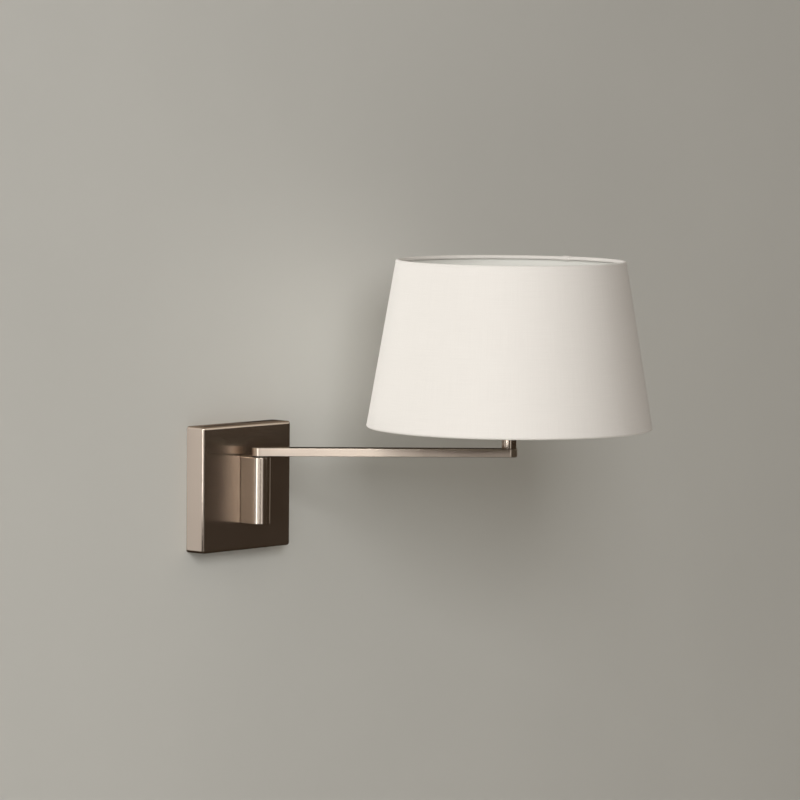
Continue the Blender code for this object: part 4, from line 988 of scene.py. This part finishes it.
def swept(name, points, radius, material, sides=20):
    """A round rod through points, bent smoothly, with domed ends."""
    path = [Vector(point) for point in points]
    bm = bmesh.new()
    rings = []
    up = Vector((0, 0, 1))
    count = len(path)
    for i, here in enumerate(path):
        along = (path[min(i + 1, count - 1)] - path[max(i - 1, 0)]).normalized()
        side = along.cross(up).normalized()
        lift = side.cross(along)
        ends = [(0, 1.0)]
        if i == 0:
            ends = [(-0.9, 0.3), (-0.6, 0.75), (0, 1.0)]
        if i == count - 1:
            ends = [(0, 1.0), (0.6, 0.75), (0.9, 0.3)]
        for shift, share in ends:
            ring = []
            for k in range(sides):
                turn = 2 * math.pi * k / sides
                spoke = side * math.cos(turn) + lift * math.sin(turn)
                ring.append(here + along * shift * radius + spoke * radius * share)
            rings.append(ring)
    loft(bm, rings)
    return finish_mesh(name, bm, material, "arm", 60)


def smooth_path(corners, bend, count=6):
    """Straight stretches joined by bends that start that far from each corner."""
    points = [Vector(corners[0])]
    for before, here, after in zip(corners, corners[1:], corners[2:]):
        here = Vector(here)
        start = here + (Vector(before) - here).normalized() * bend
        end = here + (Vector(after) - here).normalized() * bend
        points += curve_past(start, here, end, count)
    points.append(Vector(corners[-1]))
    return points


def carrier():
    """The flat ring over the lampholder, its three spokes and the lower rim wire."""
    material = LOOKS["white_wire"]
    plate_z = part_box("shade_ring_lower")[1].z + 0.3 * MM
    top = plate_z + 1.5 * MM
    inner = HOLDER_RADIUS + 0.6 * MM
    outer = 28 * MM
    profile = [(outer, top), (outer, plate_z), (inner, plate_z), (inner, top)]
    ring = turned_piece("carrier_ring", profile, LAMP, material, "arm", 120, 0.25 * MM)
    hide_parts("shade_carrier")
    middle_z = plate_z + 0.75 * MM
    for index, turn in enumerate(SPOKE_TURNS):
        across = Vector((math.cos(turn), math.sin(turn), 0))
        corners = []
        for radius, height in (
            (26 * MM, middle_z),
            (35 * MM, middle_z),
            (RIM_LOW[0] - 9 * MM, RIM_LOW[1] + 3.4 * MM),
            (RIM_LOW[0] - 0.3 * MM, RIM_LOW[1]),
        ):
            corners.append(LAMP + across * radius + Vector((0, 0, height)))
        swept(f"carrier_spoke_{index + 1}", smooth_path(corners, 4 * MM), 1.25 * MM, material)
    wire_ring("carrier_rim", RIM_LOW, material)
    upper = wire_ring("shade_rim_upper", RIM_HIGH, material)
    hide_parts("shade_top_ring")


def shade():
    cloth = LOOKS["shade_fabric"]
    reach = 0.4 * MM
    foot = RIM_LOW[1] + reach
    crown = RIM_HIGH[1] - reach
    cover = cone("shade_cover_cloth", foot, crown, 0, COVER_THICK, cloth)
    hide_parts("shade_cover")
    lining = cone(
        "shade_lining_sheet",
        RIM_LOW[1] + 1.75 * MM,
        RIM_HIGH[1] - 1.75 * MM,
        1.0 * MM,
        0.5 * MM,
        LOOKS["shade_lining"],
    )
    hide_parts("shade_lining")
    turns = [SEAM_TURN + 2 * math.pi * i / ROUND for i in range(ROUND)]
    patch = [SEAM_TURN + (i / 6 - 0.5) * FOLD_WIDTH / RIM_HIGH[0] for i in range(7)]
    bottom = rolled("shade_hem_low", RIM_LOW, 20, -218, turns, 0, cloth)
    top = rolled("shade_hem_high", RIM_HIGH, -20, 218, turns, 0, cloth)
    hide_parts("shade_hem_bottom")
    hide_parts("shade_hem_top")
    fold_low = rolled("shade_fold_low", RIM_LOW, 24, -222, patch, 0.5 * MM, cloth, closed=False)
    fold_high = rolled("shade_fold_high", RIM_HIGH, -24, 222, patch, 0.5 * MM, cloth, closed=False)
    strip = seam_strip(cloth)
    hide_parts("shade_seam")


# ---------------------------------------------------------------- looks of each slot


def nickel_looks():
    """Brushed nickel for the large pieces.

    The scratches are upright on the box and block, rings on turned parts and lengthwise on the arm.
    """
    up = (SCRATCH_ACROSS, SCRATCH_ACROSS, SCRATCH_ALONG)
    lengthwise = (SCRATCH_ALONG, SCRATCH_ACROSS, SCRATCH_ACROSS)
    rings = (40, 40, 4500)
    arm_way = (math.cos(ARM_TURN), math.sin(ARM_TURN), 0)
    colour = NICKEL_COLOUR
    return {
        "plate": brushed_metal("nickel_plate", colour, 0.22, 0.92, up),
        "block": brushed_metal("nickel_block", colour, 0.25, 0.6, up, rotation=0.25),
        "turned": brushed_metal("nickel_turned", colour, 0.18, 0.5, rings, rotation=0.25),
        "arm": brushed_metal("nickel_arm", colour, 0.30, 0.82, lengthwise, -ARM_TURN, along=arm_way),
    }


def slot_looks():
    """One material for each of the record's material slots, apart from the nickel of the large pieces."""
    shade_middle = (RIM_LOW[0] + RIM_HIGH[0]) / 2
    glaze = {"grain": 700.0, "depth": 0.008 * MM, "Coat_Weight": 0.4}
    return {
        "satin_nickel": NICKEL["turned"],
        "zinc_steel": plain_metal("zinc_steel", (0.62, 0.62, 0.6), 0.34),
        "brass": plain_metal("brass", (0.78, 0.57, 0.26), 0.27),
        "nickel_cap": plain_metal("nickel_cap", (0.72, 0.7, 0.66), 0.24),
        "white_nylon": moulded("white_nylon", (0.82, 0.81, 0.77), 0.5),
        "black_plastic": moulded("black_plastic", (0.018, 0.017, 0.016), 0.38),
        "porcelain": moulded("porcelain", (0.84, 0.82, 0.77), 0.16, **glaze),
        "white_wire": moulded("white_enamel", (0.8, 0.79, 0.75), 0.3, grain=900.0),
        "shade_fabric": woven("shade_cloth", CLOTH_COLOUR, WEAVE_PITCH, tuple(LAMP), shade_middle),
        "shade_lining": moulded("shade_lining", LINING_COLOUR, 0.42, grain=500.0, vary=0.015),
        "opal_glass": moulded("opal_glass", (0.9, 0.89, 0.86), 0.14, grain=300.0, depth=0.004 * MM),
        "wire_live": moulded("brown_insulation", (0.17, 0.075, 0.035), 0.42),
        "wire_neutral": moulded("blue_insulation", (0.04, 0.14, 0.42), 0.42),
        "wire_earth": striped_wire("earth_insulation", (0.07, 0.33, 0.09), (0.78, 0.68, 0.07), 0.42),
    }


def dress_nodes():
    """Gives every carried-over CAD piece its material and smooth shading."""
    smooth = smooth_group()
    for part in frame["record"]["subparts"]:
        obj = NODES[part["node"]]
        obj.data.materials.clear()
        obj.data.materials.append(LOOKS[part["material_slot"]])
        modifier = obj.modifiers.new("smooth", "NODES")
        modifier.node_group = smooth


# ---------------------------------------------------------------- the scene

NICKEL = nickel_looks()
LOOKS = slot_looks()

make_camera()
make_room()
make_world()
soft_light("left_edge", -84, 18, 1.0, 4.3, 4.3, 72)
soft_light("left_wide", -63, 9, 1.7, 3.0, 4.3, 18)
soft_light("key", -38.5, 19.5, 1.6, 1.6, 4.3, 66)
soft_light("behind", -174, 8, 1.5, 1.5, 3.0, 50, on_metal=False)
soft_light("front_card", -25, 4, 1.0, 3.4, 4.3, 9, on_matt=False)
soft_light("side_card", -132, 12, 3.4, 3.4, 3.0, 24, on_matt=False)
soft_light("right_card", 103, 4, 1.4, 3.0, 4.3, 7, on_matt=False)
soft_light("back_card", 165, 10, 3.0, 3.0, 3.0, 8, on_matt=False)

dress_nodes()
plate_cover()
block()
bottom_cap()
arm()
stem()
lampholder()
bulb()
carrier()
shade()

bpy.context.scene.view_settings.view_transform = "Standard"
